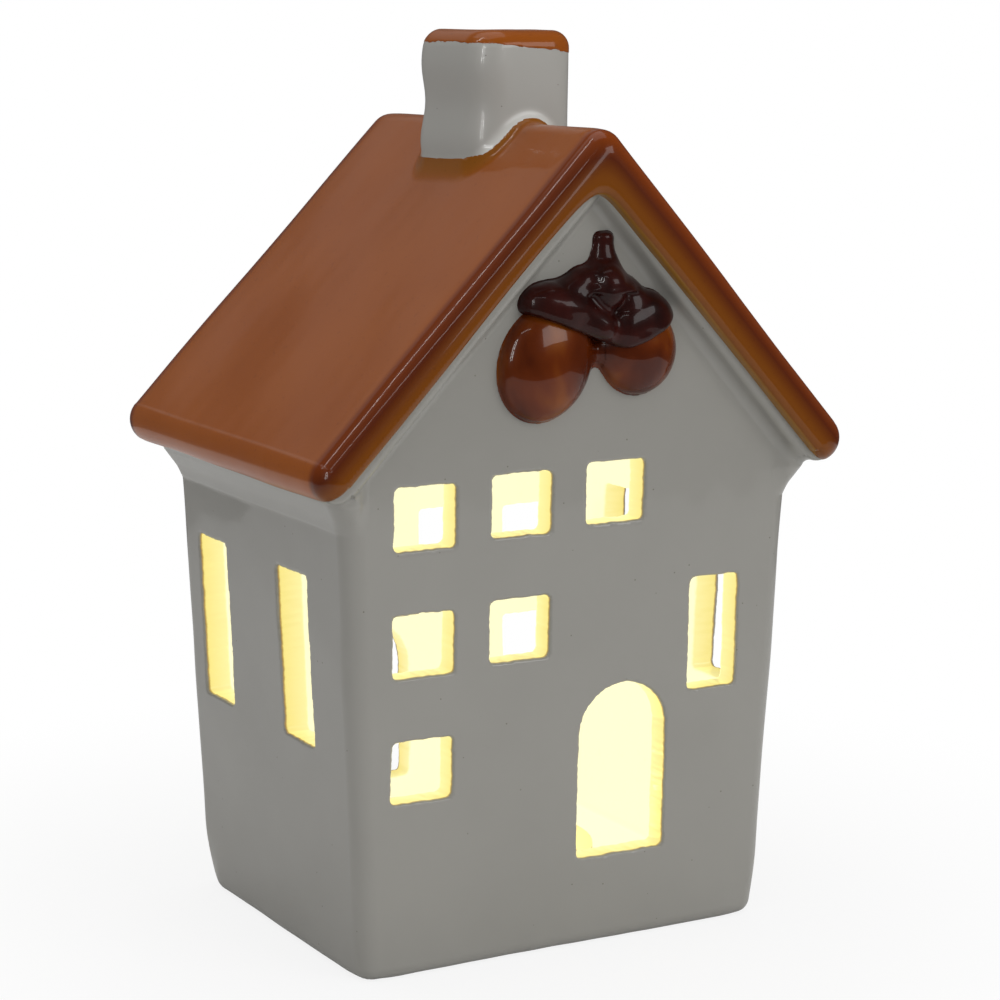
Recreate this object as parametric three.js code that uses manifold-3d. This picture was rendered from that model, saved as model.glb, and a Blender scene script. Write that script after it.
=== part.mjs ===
// A light-up ceramic house: a glazed shell with cut-out windows, an acorn relief and an open chimney,
// lit by a round battery light that plugs into the floor from below.
// Millimetres, +Z up, front wall towards -Y, origin under the middle of the house on the table.
import * as THREE from "three";
import { mergeVertices } from "three/addons/utils/BufferGeometryUtils.js";
import Module from "manifold-3d";

const wasm = await Module();
wasm.setup();

// Gaps
const SEAM = 0.3; // between ceramic zones, and between a housing and what it carries
const CONTACT = 0.15; // between a cell and its contacts

// House body
const BASE_WIDTH = 76.7; // across the front at the table
const BASE_DEPTH = 62.2;
const EAVE_Z = 74.6; // height of the wall corners under the eaves
const EAVE_WIDTH = 83.8; // the walls lean outwards to this at EAVE_Z
const EAVE_DEPTH = 65.6;
const WALL = 4.6;
const CORNER_R = 3.2; // upright edges
const INNER_CORNER_R = 2.4;
const FOOT_EDGE = 2.2; // rounding round the bottom
const FOOT_RECESS = 3.0; // how far the floor sits above the foot ring
const FOOT_RING = 4.6; // width of the foot ring
const FOOT_CORNER_R = 2.5; // corners of the recess inside the ring
const FLOOR = 3.5;

// Roof
const PITCH = THREE.MathUtils.degToRad(46.7);
const RIDGE_Z = 136.7; // where the two outer slopes would meet
const RIDGE_R = 4.0;
const RIDGE_X = 1.7; // the ridge lies this far right of the middle, so the two slopes differ a little
const ROOF_THICK = 5.7; // brown slab, square to the slope
const BAND_THICK = 2.4; // pale band under it
const EAVE_HALF = 49.0; // from the middle to the outermost point of an eave
const EAVE_R = 4.0;
const ROOF_DEPTH = 77.8;
const VERGE_EDGE = 3.2; // rounding of the upper edge round the gable ends
const VERGE_STEPS = 5;
const BAND_DEPTH = 72.8;
const SOFFIT_RUN = 2.3; // the slope between wall and soffit, across and down
const SOFFIT_DROP = 4.5;

// Chimney
const STACK_WIDTH = 19.3;
const STACK_DEPTH = 22.8;
const STACK_X = 1.75; // the stack stands a little off the middle of the ridge
const STACK_Y = -1.8;
const STACK_R = 5.5;
const STACK_TOP = 150.0;
const RIM_HEIGHT = 2.3;
const RIM_EDGE = 1.5;
const FLUE_WIDTH = 12.0;
const FLUE_DEPTH = 15.4;
const FLUE_R = 2.6;

// Openings in the walls, cut by hand with slightly round corners
const PANE = 11.0; // width of a square window
const PANE_HEIGHT = 10.2;
const PANE_R = 0.9;
const PANE_COLUMNS = [-27.9, -10.4, 7.0];
const PANE_ROWS = [35.0, 55.5, 75.95];
const PANE_TILT = 0.04; // the rows rise a little towards the right
const PANES = [[0, 2], [1, 2], [2, 2], [0, 1], [1, 1], [0, 0]]; // [column, row]
const TALL_WIDTH = 9.6;
const TALL_HEIGHT = 19.2;
const TALL_X = 27.0;
const TALL_Z = 51.2;
const DOOR_WIDTH = 16.9;
const DOOR_X = 9.7;
const DOOR_SILL = 15.1;
const DOOR_TOP = 44.4;
const SIDE_WIDTH = 11.4;
const SIDE_HEIGHT = 28.2;
const SIDE_Z = 50.3;
const SIDE_PLACES = [-12.0, 19.0]; // along Y in the left wall
const BACK_RAISE = 3.6; // the windows of the back and right walls were cut this much higher
const BACK_PANE_SHIFT = 1.5;
const BACK_DOOR_SHIFT = -2.2;

// Acorn relief on the front gable: [x, z] on the wall, half length and half width, lean in degrees
const NUT_OUT = 3.7; // how far the nuts stand out of the wall
const CAP_OUT = 4.3;
const CAP_UNDER = 0.7; // share of a cap's half length that lies below its widest ring
const STEM_OUT = 2.8;
const LEFT_NUT = { x: -7.0, z: 98.4, long: 9.5, half: 8.1, lean: -22, out: NUT_OUT };
const RIGHT_NUT = { x: 10.6, z: 99.6, long: 7.4, half: 6.4, lean: 15, out: NUT_OUT };
const LEFT_CAP = { x: -3.4, z: 106.4, long: 5.0, half: 7.8, lean: -21, out: CAP_OUT };
const RIGHT_CAP = { x: 9.2, z: 105.4, long: 4.6, half: 5.6, lean: 15, out: CAP_OUT };
const STEM_X = 2.5;
const STEM_FOOT_Z = 109.0;
const STEM_TIP_Z = 118.6;
const STEM_FOOT_HALF = 4.2;
const STEM_TIP_HALF = 1.4;

// Light unit
const HOLE_R = 20.7; // round hole in the ceramic floor
const PLUG_CLEAR = 0.4;
const UNIT_LIFT = 0.9; // the unit hangs this far above the table
const FLANGE_LIP = 2.7; // how far the flange reaches past the hole
const FLANGE = 1.8;
const DECK = 3.0; // thickness of the base plate
const UNIT_TOP = 10.0;
const SHELL_WALL = 1.5;
const SHELL_TOP = 1.1;
const LIP_HEIGHT = 1.6; // the base's locating lip inside the shell
const LIP_WALL = 1.2;
const CELL_R = 5.8;
const CELL_HEIGHT = 5.4;
const CELL_CAP_R = 4.6; // the raised face of the smaller pole
const CELL_CAP_HEIGHT = 0.35;
const CELL_EDGE = 0.3;
const CELL_RING = 10.5; // distance of the three cells from the axis
const CELL_ANGLES = [90, 210, 330];
const CELL_CLEAR = 0.3;
const POCKET_WALL = 0.9;
const STRIP = 0.25; // sheet metal of the contacts
const STRIP_WIDTH = 4.0;
const STRIP_REACH = 2.1; // how far the positive strip passes the middle of its cell
const COVER = 1.4;
const COVER_R = 17.2;
const COVER_CUT = -11.7; // the cover is cut straight here, beside the switch
const SCREW_RING = 14.4;
const SCREW_ANGLES = [30, 150];
const SCREW_R = 0.9;
const SCREW_HEAD_R = 1.8;
const SCREW_HEAD = 0.7;
const SCREW_LENGTH = 5.2;
const SCREW_CROSS = 0.4; // width and depth of the cross in the head
const SCREW_CROSS_REACH = 1.25;
const BOSS_WALL = 1.1;
const BOSS_TIP = 2.0; // a boss stands this much past its screw
const ROOT = 0.5; // how far bosses and pockets reach into the plate they stand on
const SCREW_CLEAR = 0.3;
const LED_R = 2.5;
const LED_FLANGE_R = 2.9;
const LED_FLANGE = 1.0;
const LED_HEIGHT = 8.6;
const LEAD = 0.5; // square section
const LEAD_PITCH = 2.54;
const LEAD_RISE = 1.5; // height of the resistor's lead above the base plate
const LEAD_END = -2.2; // where the cathode lead ends along Y
const RESISTOR_R = 0.9;
const RESISTOR_LENGTH = 3.4;
const RESISTOR_LEG = 1.2;
const SWITCH_Y = -14.2;
const SWITCH_LENGTH = 8.6;
const SWITCH_DEPTH = 4.0;
const SWITCH_HEIGHT = 3.4;
const SWITCH_SHEET = 0.35;
const KNOB = 1.5;
const KNOB_TRAVEL = 2.0;
const DISH_SIDE = 0.5; // the finger dish is this much wider than the knob's slot
const DISH_END = 1.0;
const WIRE_R = 0.45;
const WIRE_BEND = 1.2;
const WIRE_LIFT = 0.3;
const WIRE_ANGLES = [300, 310, 320, 327]; // round the inside of the shell

// Heights that follow from the sizes above
const FLOOR_TOP = FOOT_RECESS + FLOOR;
const DECK_TOP = UNIT_LIFT + DECK;
const PLUG_R = HOLE_R - PLUG_CLEAR;
const COVER_RECESS = COVER + CONTACT;
const COVER_TOP = UNIT_LIFT + COVER;
const CELL_Z = COVER_TOP + STRIP + 2 * CONTACT;
const CELL_TOP = CELL_Z + CELL_HEIGHT;
const POCKET_TOP = CELL_TOP - CONTACT;
const CEILING = UNIT_TOP - SHELL_TOP;
const SLOPE = Math.tan(PITCH);
const TIP_X = EAVE_HALF - EAVE_R;
const TIP_Z = RIDGE_Z - SLOPE * TIP_X - EAVE_R / Math.cos(PITCH);
const SOFFIT_HALF = TIP_X - SEAM;
const SOFFIT_Z = TIP_Z - EAVE_R;
const slabDrop = ROOF_THICK / Math.cos(PITCH);
const seamDrop = SEAM / Math.cos(PITCH);
const bandDrop = BAND_THICK / Math.cos(PITCH);

// Moves a point of the even roof outline sideways with its height, until the ridge is in its place
const skew = ([x, z]) => [x + (RIDGE_X * (z - TIP_Z)) / (RIDGE_Z - TIP_Z), z];

// Materials
const paint = (color, roughness, metalness = 0) =>
  new THREE.MeshStandardMaterial({ color, roughness, metalness });
const MATERIALS = {
  greyGlaze: paint(0x8f8d87, 0.3),
  brownGlaze: paint(0x7a4420, 0.22),
  nutGlaze: paint(0x7a3d12, 0.15),
  capGlaze: paint(0x2c100a, 0.15),
  housing: paint(0xe6dcc4, 0.55),
  cover: paint(0xded3ba, 0.55),
  lens: paint(0xfff2c8, 0.1),
  tin: paint(0xc4c6c8, 0.35, 1),
  spring: paint(0xc9b27a, 0.35, 1),
  resistor: paint(0xc9a878, 0.5),
  red: paint(0xb02018, 0.5),
  black: paint(0x202020, 0.5),
  knob: paint(0x1c1c1e, 0.45),
};

// Shared helpers
function toSolid(geometry) {
  const bare = geometry.index ? geometry.toNonIndexed() : geometry.clone();
  bare.deleteAttribute("normal");
  bare.deleteAttribute("uv");
  const merged = mergeVertices(bare, 1e-4);
  return new wasm.Manifold(
    new wasm.Mesh({
      numProp: 3,
      vertProperties: new Float32Array(merged.attributes.position.array),
      triVerts: new Uint32Array(merged.index.array),
    }),
  );
}

const group = new THREE.Group();
group.name = "ceramic_house";

function addSolid(name, solid, material) {
  const m = solid.getMesh();
  const geometry = new THREE.BufferGeometry();
  geometry.setAttribute("position", new THREE.BufferAttribute(m.vertProperties, 3));
  geometry.setIndex(new THREE.BufferAttribute(m.triVerts, 1));
  geometry.computeVertexNormals();
  const mesh = new THREE.Mesh(geometry, material);
  mesh.name = name;
  group.add(mesh);
  return mesh;
}

function roundedRectangle(width, height, radius) {
  const x = width / 2;
  const y = height / 2;
  const r = radius;
  const shape = new THREE.Shape();
  shape.moveTo(-x + r, -y);
  shape.lineTo(x - r, -y);
  shape.absarc(x - r, -y + r, r, -Math.PI / 2, 0);
  shape.lineTo(x, y - r);
  shape.absarc(x - r, y - r, r, 0, Math.PI / 2);
  shape.lineTo(-x + r, y);
  shape.absarc(-x + r, y - r, r, Math.PI / 2, Math.PI);
  shape.lineTo(-x, -y + r);
  shape.absarc(-x + r, -y + r, r, Math.PI, 1.5 * Math.PI);
  return shape;
}

// A shape in the XY plane, pulled up from z0 to z1
function pillar(shape, z0, z1, steps = 4) {
  const g = new THREE.ExtrudeGeometry(shape, { depth: z1 - z0, bevelEnabled: false, curveSegments: steps });
  return g.translate(0, 0, z0);
}

// A shape in the XZ plane, pulled from y0 to y1
function alongY(shape, y0, y1, steps = 4) {
  const g = new THREE.ExtrudeGeometry(shape, { depth: y1 - y0, bevelEnabled: false, curveSegments: steps });
  return g.rotateX(Math.PI / 2).translate(0, y1, 0);
}

// A shape in the YZ plane, pulled from x0 to x1
function alongX(shape, x0, x1, steps = 4) {
  const g = new THREE.ExtrudeGeometry(shape, { depth: x1 - x0, bevelEnabled: false, curveSegments: steps });
  return g.rotateX(Math.PI / 2).rotateZ(Math.PI / 2).translate(x0, 0, 0);
}

const rod = (r, z0, z1, sides = 32) =>
  new THREE.CylinderGeometry(r, r, z1 - z0, sides).rotateX(Math.PI / 2).translate(0, 0, (z0 + z1) / 2);

const block = (x0, x1, y0, y1, z0, z1) =>
  new THREE.BoxGeometry(x1 - x0, y1 - y0, z1 - z0).translate((x0 + x1) / 2, (y0 + y1) / 2, (z0 + z1) / 2);

const solidRod = (r, z0, z1, x = 0, y = 0, sides = 32) => toSolid(rod(r, z0, z1, sides).translate(x, y, 0));
const solidBlock = (...sizes) => toSolid(block(...sizes));

function polygon(points) {
  const shape = new THREE.Shape();
  points.forEach(([x, y], i) => (i ? shape.lineTo(x, y) : shape.moveTo(x, y)));
  return shape;
}

const onRing = (radius, degrees) => {
  const a = THREE.MathUtils.degToRad(degrees);
  return [radius * Math.cos(a), radius * Math.sin(a)];
};

// House body

// The walls lean out evenly, so every upright prism is spread with its height
function lean(geometry) {
  const p = geometry.attributes.position;
  const kx = (EAVE_WIDTH / BASE_WIDTH - 1) / EAVE_Z;
  const ky = (EAVE_DEPTH / BASE_DEPTH - 1) / EAVE_Z;
  for (let i = 0; i < p.count; i++) {
    const z = p.getZ(i);
    p.setXYZ(i, p.getX(i) * (1 + kx * z), p.getY(i) * (1 + ky * z), z);
  }
  return geometry;
}

const frontAt = (z) => (-BASE_DEPTH / 2) * (1 + ((EAVE_DEPTH / BASE_DEPTH - 1) / EAVE_Z) * z);
const sideAt = (z) => (BASE_WIDTH / 2) * (1 + ((EAVE_WIDTH / BASE_WIDTH - 1) / EAVE_Z) * z);

function outerPrism() {
  const shape = roundedRectangle(BASE_WIDTH, BASE_DEPTH, CORNER_R);
  const g = new THREE.ExtrudeGeometry(shape, {
    depth: RIDGE_Z - 2 * FOOT_EDGE,
    bevelEnabled: true,
    bevelThickness: FOOT_EDGE,
    bevelSize: FOOT_EDGE,
    bevelOffset: -FOOT_EDGE,
    bevelSegments: 3,
    curveSegments: 5,
  });
  return toSolid(lean(g.translate(0, 0, FOOT_EDGE)));
}

function innerPrism() {
  const shape = roundedRectangle(BASE_WIDTH - 2 * WALL, BASE_DEPTH - 2 * WALL, INNER_CORNER_R);
  return toSolid(lean(pillar(shape, FLOOR_TOP, RIDGE_Z, 3)));
}

// What lies under a line parallel to the outer slopes, a drop below them measured straight down
function underSlopes(drop) {
  const top = RIDGE_Z - drop;
  const half = (top + 1) / SLOPE;
  return toSolid(alongY(polygon([[-half, -1], [half, -1], [0, top]].map(skew)), -EAVE_DEPTH, EAVE_DEPTH));
}

// The pale band: a shallow saddle under the brown slab
function paleBand() {
  const top = RIDGE_Z - slabDrop - seamDrop;
  const under = top - bandDrop;
  const right = [
    [SOFFIT_HALF, top - SLOPE * SOFFIT_HALF],
    [SOFFIT_HALF, SOFFIT_Z],
    [Math.min((under - SOFFIT_Z) / SLOPE, SOFFIT_HALF), SOFFIT_Z],
  ];
  const left = right.map(([x, z]) => [-x, z]).reverse();
  const shape = polygon([[0, top], ...right, [0, under], ...left].map(skew));
  return toSolid(alongY(shape, -BAND_DEPTH / 2, BAND_DEPTH / 2));
}

// The slope between the side wall and the soffit, under the band's eave
function eaveCove(side) {
  const foot = SOFFIT_Z - SOFFIT_DROP;
  const half = sideAt(foot);
  const reach = -frontAt(foot) - CORNER_R / 2;
  const rise = SOFFIT_Z + SEAM;
  const points = [
    [half - SEAM, foot],
    [half + SOFFIT_RUN, SOFFIT_Z],
    [half + SOFFIT_RUN, rise],
    [half - WALL, rise],
    [half - WALL, foot],
  ];
  return toSolid(alongY(polygon(points), -reach, reach)).rotate([0, 0, side < 0 ? 180 : 0]);
}

const paneHole = (column, row, raise, shift) => {
  const shape = roundedRectangle(PANE, PANE_HEIGHT, PANE_R);
  const tilt = PANE_TILT * (PANE_COLUMNS[column] - PANE_COLUMNS[1]);
  const g = alongY(shape, -BASE_DEPTH, 0, 2);
  return toSolid(g.translate(PANE_COLUMNS[column] + shift, 0, PANE_ROWS[row] + raise + tilt));
};

function doorShape(x) {
  const r = DOOR_WIDTH / 2;
  const shape = new THREE.Shape();
  shape.moveTo(x - r, DOOR_SILL);
  shape.lineTo(x + r, DOOR_SILL);
  shape.lineTo(x + r, DOOR_TOP - r);
  shape.absarc(x, DOOR_TOP - r, r, 0, Math.PI);
  return shape;
}

// Everything cut through one gable wall and the side wall to its left. The back is the same turned round.
function cutOuts(raise, paneShift, doorShift) {
  const holes = PANES.map(([column, row]) => paneHole(column, row, raise, paneShift));
  const tall = roundedRectangle(TALL_WIDTH, TALL_HEIGHT, PANE_R);
  holes.push(toSolid(alongY(tall, -BASE_DEPTH, 0, 2).translate(TALL_X, 0, TALL_Z + raise)));
  holes.push(toSolid(alongY(doorShape(DOOR_X + doorShift), -BASE_DEPTH, 0, 10)));
  const side = roundedRectangle(SIDE_WIDTH, SIDE_HEIGHT, PANE_R);
  for (const y of SIDE_PLACES) {
    holes.push(toSolid(alongX(side, -BASE_WIDTH, 0, 2).translate(0, y, SIDE_Z + raise)));
  }
  return wasm.Manifold.union(holes);
}

const flueHole = (z0, z1) => {
  const shape = roundedRectangle(FLUE_WIDTH, FLUE_DEPTH, FLUE_R);
  return toSolid(pillar(shape, z0, z1, 3).translate(STACK_X, STACK_Y, 0));
};

function houseWalls() {
  const roofUnderside = underSlopes(slabDrop + seamDrop);
  const cavity = innerPrism().intersect(underSlopes(slabDrop + seamDrop + bandDrop));
  const recess = roundedRectangle(BASE_WIDTH - 2 * FOOT_RING, BASE_DEPTH - 2 * FOOT_RING, FOOT_CORNER_R);
  return outerPrism()
    .intersect(roofUnderside)
    .add(paleBand())
    .add(eaveCove(-1))
    .add(eaveCove(1))
    .subtract(cavity)
    .subtract(toSolid(pillar(recess, -1, FOOT_RECESS, 3)))
    .subtract(solidRod(HOLE_R, 0, FLOOR_TOP + 1, 0, 0, 48))
    .subtract(cutOuts(0, 0, 0))
    .subtract(cutOuts(BACK_RAISE, BACK_PANE_SHIFT, BACK_DOOR_SHIFT).rotate([0, 0, 180]))
    .subtract(flueHole(EAVE_Z, RIDGE_Z));
}

// Outline of the brown slab, drawn in by an inset on its upper side only
function roofOutline(inset) {
  const apex = RIDGE_Z - inset / Math.cos(PITCH);
  const under = RIDGE_Z - slabDrop;
  const square = Math.PI / 2 - PITCH; // direction square to the right slope
  const points = [];
  const arc = (x, z, r, from, to, steps) => {
    for (let k = 0; k <= steps; k++) {
      const a = from + ((to - from) * k) / steps;
      points.push([x + r * Math.cos(a), z + r * Math.sin(a)]);
    }
  };
  arc(0, apex - RIDGE_R / Math.cos(PITCH), RIDGE_R, Math.PI / 2, square, 4);
  arc(TIP_X, TIP_Z, EAVE_R - inset, square, -Math.PI / 2, 7);
  points.push([SOFFIT_HALF + SEAM, under - SLOPE * (SOFFIT_HALF + SEAM)]);
  const left = points.slice(1).map(([x, z]) => [-x, z]).reverse();
  return [...points, [0, under], ...left].map(skew);
}

// A closed body through outlines in the XZ plane that all have the same number of points
function loftAlongY(outlines, places) {
  const count = outlines[0].length;
  const position = [];
  outlines.forEach((outline, i) => outline.forEach(([x, z]) => position.push(x, places[i], z)));
  const index = [];
  for (let i = 0; i + 1 < outlines.length; i++) {
    for (let k = 0; k < count; k++) {
      const a = i * count + k;
      const b = i * count + ((k + 1) % count);
      index.push(a, b, b + count, a, b + count, a + count);
    }
  }
  const cap = (outline) =>
    THREE.ShapeUtils.triangulateShape(outline.map(([x, z]) => new THREE.Vector2(x, z)), []);
  const last = (outlines.length - 1) * count;
  for (const [a, b, c] of cap(outlines[0])) index.push(a, b, c);
  for (const [a, b, c] of cap(outlines[outlines.length - 1])) index.push(last + a, last + c, last + b);
  const g = new THREE.BufferGeometry();
  g.setAttribute("position", new THREE.Float32BufferAttribute(position, 3));
  g.setIndex(index);
  return g;
}

function roof() {
  const outlines = [];
  const places = [];
  for (const side of [-1, 1]) {
    for (let k = 0; k <= VERGE_STEPS; k++) {
      const a = ((side < 0 ? k : VERGE_STEPS - k) / VERGE_STEPS) * (Math.PI / 2);
      outlines.push(roofOutline(VERGE_EDGE * (1 - Math.sin(a))));
      places.push(side * (ROOF_DEPTH / 2 - VERGE_EDGE * (1 - Math.cos(a))));
    }
  }
  const shape = roundedRectangle(STACK_WIDTH + 2 * SEAM, STACK_DEPTH + 2 * SEAM, STACK_R + SEAM);
  const hole = toSolid(pillar(shape, EAVE_Z, STACK_TOP, 5).translate(STACK_X, STACK_Y, 0));
  return toSolid(loftAlongY(outlines, places)).subtract(hole);
}

function chimneyStack() {
  const shape = roundedRectangle(STACK_WIDTH, STACK_DEPTH, STACK_R);
  const block = toSolid(pillar(shape, EAVE_Z, STACK_TOP - RIM_HEIGHT - SEAM, 5).translate(STACK_X, STACK_Y, 0));
  return block.subtract(underSlopes(slabDrop)).subtract(flueHole(EAVE_Z, STACK_TOP + 1));
}

function chimneyRim() {
  const shape = roundedRectangle(STACK_WIDTH, STACK_DEPTH, STACK_R);
  const g = new THREE.ExtrudeGeometry(shape, {
    depth: RIM_HEIGHT,
    bevelEnabled: true,
    bevelThickness: RIM_EDGE,
    bevelSize: RIM_EDGE,
    bevelOffset: -RIM_EDGE,
    bevelSegments: 3,
    curveSegments: 5,
  });
  const block = toSolid(g.translate(STACK_X, STACK_Y, STACK_TOP - RIM_HEIGHT - RIM_EDGE));
  const below = solidBlock(-EAVE_HALF, EAVE_HALF, -EAVE_DEPTH, EAVE_DEPTH, 0, STACK_TOP - RIM_HEIGHT);
  return block.subtract(below).subtract(flueHole(EAVE_Z, STACK_TOP + 1));
}

// Acorns

// An acorn half as a turned profile along its length, thickest a little above the middle
function turned(points, place, grow) {
  const g = new THREE.LatheGeometry(points.map(([r, h]) => new THREE.Vector2(r, h)), 20);
  const flat = (place.out + grow) / (place.half + grow);
  g.rotateZ(THREE.MathUtils.degToRad(place.lean)).scale(1, 1, flat);
  g.rotateX(Math.PI / 2);
  return toSolid(g.translate(place.x, frontAt(place.z), place.z));
}

function nutSolid(place, grow = 0) {
  const r = place.half + grow;
  const l = place.long + grow;
  const points = [[0, -l]];
  for (let k = 1; k < 9; k++) {
    const a = -Math.PI / 2 + (k / 9) * Math.PI;
    points.push([r * Math.pow(Math.cos(a), 0.8), l * Math.sin(a)]);
  }
  points.push([0, l]);
  return turned(points, place, grow);
}

function capSolid(place, grow = 0) {
  const r = place.half + grow;
  const l = place.long + grow;
  const from = -Math.asin(CAP_UNDER);
  const points = [[0, -l * CAP_UNDER]];
  for (let k = 0; k < 7; k++) {
    const a = from + ((Math.PI / 2 - from) * k) / 7;
    points.push([r * Math.cos(a), l * Math.sin(a)]);
  }
  points.push([0, l]);
  return turned(points, place, grow);
}

function stemSolid(grow = 0) {
  const foot = STEM_FOOT_HALF + grow;
  const tip = STEM_TIP_HALF + grow;
  const h0 = STEM_FOOT_Z - grow;
  const h1 = STEM_TIP_Z + grow;
  const points = [[0, h0], [foot, h0]];
  for (let k = 1; k < 5; k++) {
    const t = k / 5;
    points.push([tip + (foot - tip) * (1 - t) ** 2, h0 + (h1 - h0) * t]);
  }
  points.push([0, h1]);
  const g = new THREE.LatheGeometry(points.map(([r, h]) => new THREE.Vector2(r, h)), 14);
  g.scale(1, 1, (STEM_OUT + grow) / foot).rotateX(Math.PI / 2);
  return toSolid(g.translate(STEM_X, frontAt(STEM_FOOT_Z), 0));
}

function acorns() {
  const wall = outerPrism().translate([0, -SEAM, 0]);
  const leftCap = capSolid(LEFT_CAP).subtract(wall);
  const rightCap = capSolid(RIGHT_CAP).subtract(wall).subtract(capSolid(LEFT_CAP, SEAM));
  const stem = stemSolid().subtract(wall).subtract(capSolid(LEFT_CAP, SEAM)).subtract(capSolid(RIGHT_CAP, SEAM));
  const clear = [capSolid(LEFT_CAP, SEAM), capSolid(RIGHT_CAP, SEAM), stemSolid(SEAM), wall];
  const cutBy = (solid, tools) => tools.reduce((s, t) => s.subtract(t), solid);
  const leftNut = cutBy(nutSolid(LEFT_NUT), clear);
  const rightNut = cutBy(nutSolid(RIGHT_NUT), [...clear, nutSolid(LEFT_NUT, SEAM)]);
  return { leftNut, rightNut, leftCap, rightCap, stem };
}

// Light unit

const cellPlaces = CELL_ANGLES.map((a) => onRing(CELL_RING, a));
const screwPlaces = SCREW_ANGLES.map((a) => onRing(SCREW_RING, a));

function coverOutline(radius, cut) {
  const a = Math.asin(cut / radius);
  const shape = new THREE.Shape();
  shape.moveTo(-radius * Math.cos(a), cut);
  shape.lineTo(radius * Math.cos(a), cut);
  shape.absarc(0, 0, radius, a, Math.PI - a);
  return shape;
}

function lightBase() {
  const flange = solidRod(HOLE_R + FLANGE_LIP, UNIT_LIFT, UNIT_LIFT + FLANGE, 0, 0, 56);
  const deck = solidRod(PLUG_R, UNIT_LIFT, DECK_TOP, 0, 0, 56);
  const lipR = PLUG_R - SHELL_WALL - SEAM;
  const lip = solidRod(lipR, UNIT_LIFT + FLANGE, DECK_TOP + LIP_HEIGHT, 0, 0, 56).subtract(
    solidRod(lipR - LIP_WALL, DECK_TOP, UNIT_TOP, 0, 0, 56),
  );
  let base = flange.add(deck).add(lip);
  for (const [x, y] of cellPlaces) {
    base = base.add(solidRod(CELL_R + CELL_CLEAR + POCKET_WALL, DECK_TOP - ROOT, POCKET_TOP, x, y));
  }
  for (const [x, y] of screwPlaces) {
    const top = UNIT_LIFT + SCREW_LENGTH + BOSS_TIP;
    base = base.add(solidRod(SCREW_R + SCREW_CLEAR + BOSS_WALL, DECK_TOP - ROOT, top, x, y, 20));
  }
  for (const [x, y] of cellPlaces) {
    base = base.subtract(solidRod(CELL_R + CELL_CLEAR, 0, UNIT_TOP, x, y));
  }
  for (const [x, y] of screwPlaces) {
    base = base.subtract(solidRod(SCREW_R + SCREW_CLEAR, 0, UNIT_TOP, x, y, 20));
  }
  const recess = coverOutline(COVER_R + SEAM, COVER_CUT - SEAM);
  base = base.subtract(toSolid(pillar(recess, 0, UNIT_LIFT + COVER_RECESS, 24)));
  const linkRoom = COVER_RECESS + STRIP + 2 * CONTACT;
  base = base.subtract(strip(cellA, cellB, UNIT_LIFT, linkRoom, STRIP_WIDTH + 2 * SEAM));
  base = base.subtract(leafSlot());
  const slotHalf = (KNOB + KNOB_TRAVEL) / 2 + SEAM;
  const knobHalf = KNOB / 2 + SEAM;
  const slot = solidBlock(-slotHalf, slotHalf, SWITCH_Y - knobHalf, SWITCH_Y + knobHalf, 0, UNIT_TOP);
  // The finger dish stops short of the cover's edge
  const dishHalf = knobHalf + DISH_SIDE;
  const dishEnd = slotHalf + DISH_END;
  const dish = solidBlock(-dishEnd, dishEnd, SWITCH_Y - dishHalf, SWITCH_Y + dishHalf, 0, COVER_TOP);
  return base.subtract(slot).subtract(dish);
}

function lightShell() {
  const body = solidRod(PLUG_R, DECK_TOP + SEAM, UNIT_TOP, 0, 0, 56);
  const room = solidRod(PLUG_R - SHELL_WALL, 0, CEILING, 0, 0, 56);
  return body.subtract(room).subtract(solidRod(LED_R + SEAM, 0, UNIT_TOP + 1, 0, 0, 24));
}

const LED_Z = CEILING - CONTACT - LED_FLANGE;

function ledLens() {
  const points = [[0, LED_Z], [LED_FLANGE_R, LED_Z], [LED_FLANGE_R, LED_Z + LED_FLANGE], [LED_R, LED_Z + LED_FLANGE]];
  const dome = LED_Z + LED_HEIGHT - LED_R;
  for (let k = 0; k < 6; k++) {
    const a = (k / 6) * (Math.PI / 2);
    points.push([LED_R * Math.cos(a), dome + LED_R * Math.sin(a)]);
  }
  points.push([0, LED_Z + LED_HEIGHT]);
  const g = new THREE.LatheGeometry(points.map(([r, z]) => new THREE.Vector2(r, z)), 24);
  return toSolid(g.rotateX(Math.PI / 2));
}

const LEAD_FOOT = DECK_TOP + LEAD_RISE;
const STRIP_Z = CELL_TOP + CONTACT;

// The anode lead runs out under the LED to the tab of the positive contact
const TAB_Y = LED_FLANGE_R + CONTACT;

function anodeLead() {
  const x = LEAD_PITCH / 2;
  const h = LEAD / 2;
  const top = LED_Z - CONTACT;
  return solidBlock(x - h, x + h, -h, TAB_Y - CONTACT, top - LEAD, top);
}

// The cathode lead goes down between the cell pockets and over to the resistor
function cathodeLead() {
  const x = -LEAD_PITCH / 2;
  const h = LEAD / 2;
  const foot = LEAD_FOOT + LEAD;
  return solidBlock(x - h, x + h, -h, h, LEAD_FOOT, LED_Z - CONTACT)
    .add(solidBlock(x - h, h, -h, h, LEAD_FOOT, foot))
    .add(solidBlock(-h, h, LEAD_END, h, LEAD_FOOT, foot));
}

const RESISTOR_Y = LEAD_END - SEAM - RESISTOR_LEG - RESISTOR_LENGTH / 2;

function resistor() {
  const z = LEAD_FOOT + LEAD / 2;
  const length = RESISTOR_LENGTH + 2 * RESISTOR_LEG;
  const body = new THREE.CylinderGeometry(RESISTOR_R, RESISTOR_R, RESISTOR_LENGTH, 16);
  const legs = new THREE.CylinderGeometry(LEAD / 2, LEAD / 2, length, 8);
  return toSolid(body.translate(0, RESISTOR_Y, z)).add(toSolid(legs.translate(0, RESISTOR_Y, z)));
}

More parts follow.
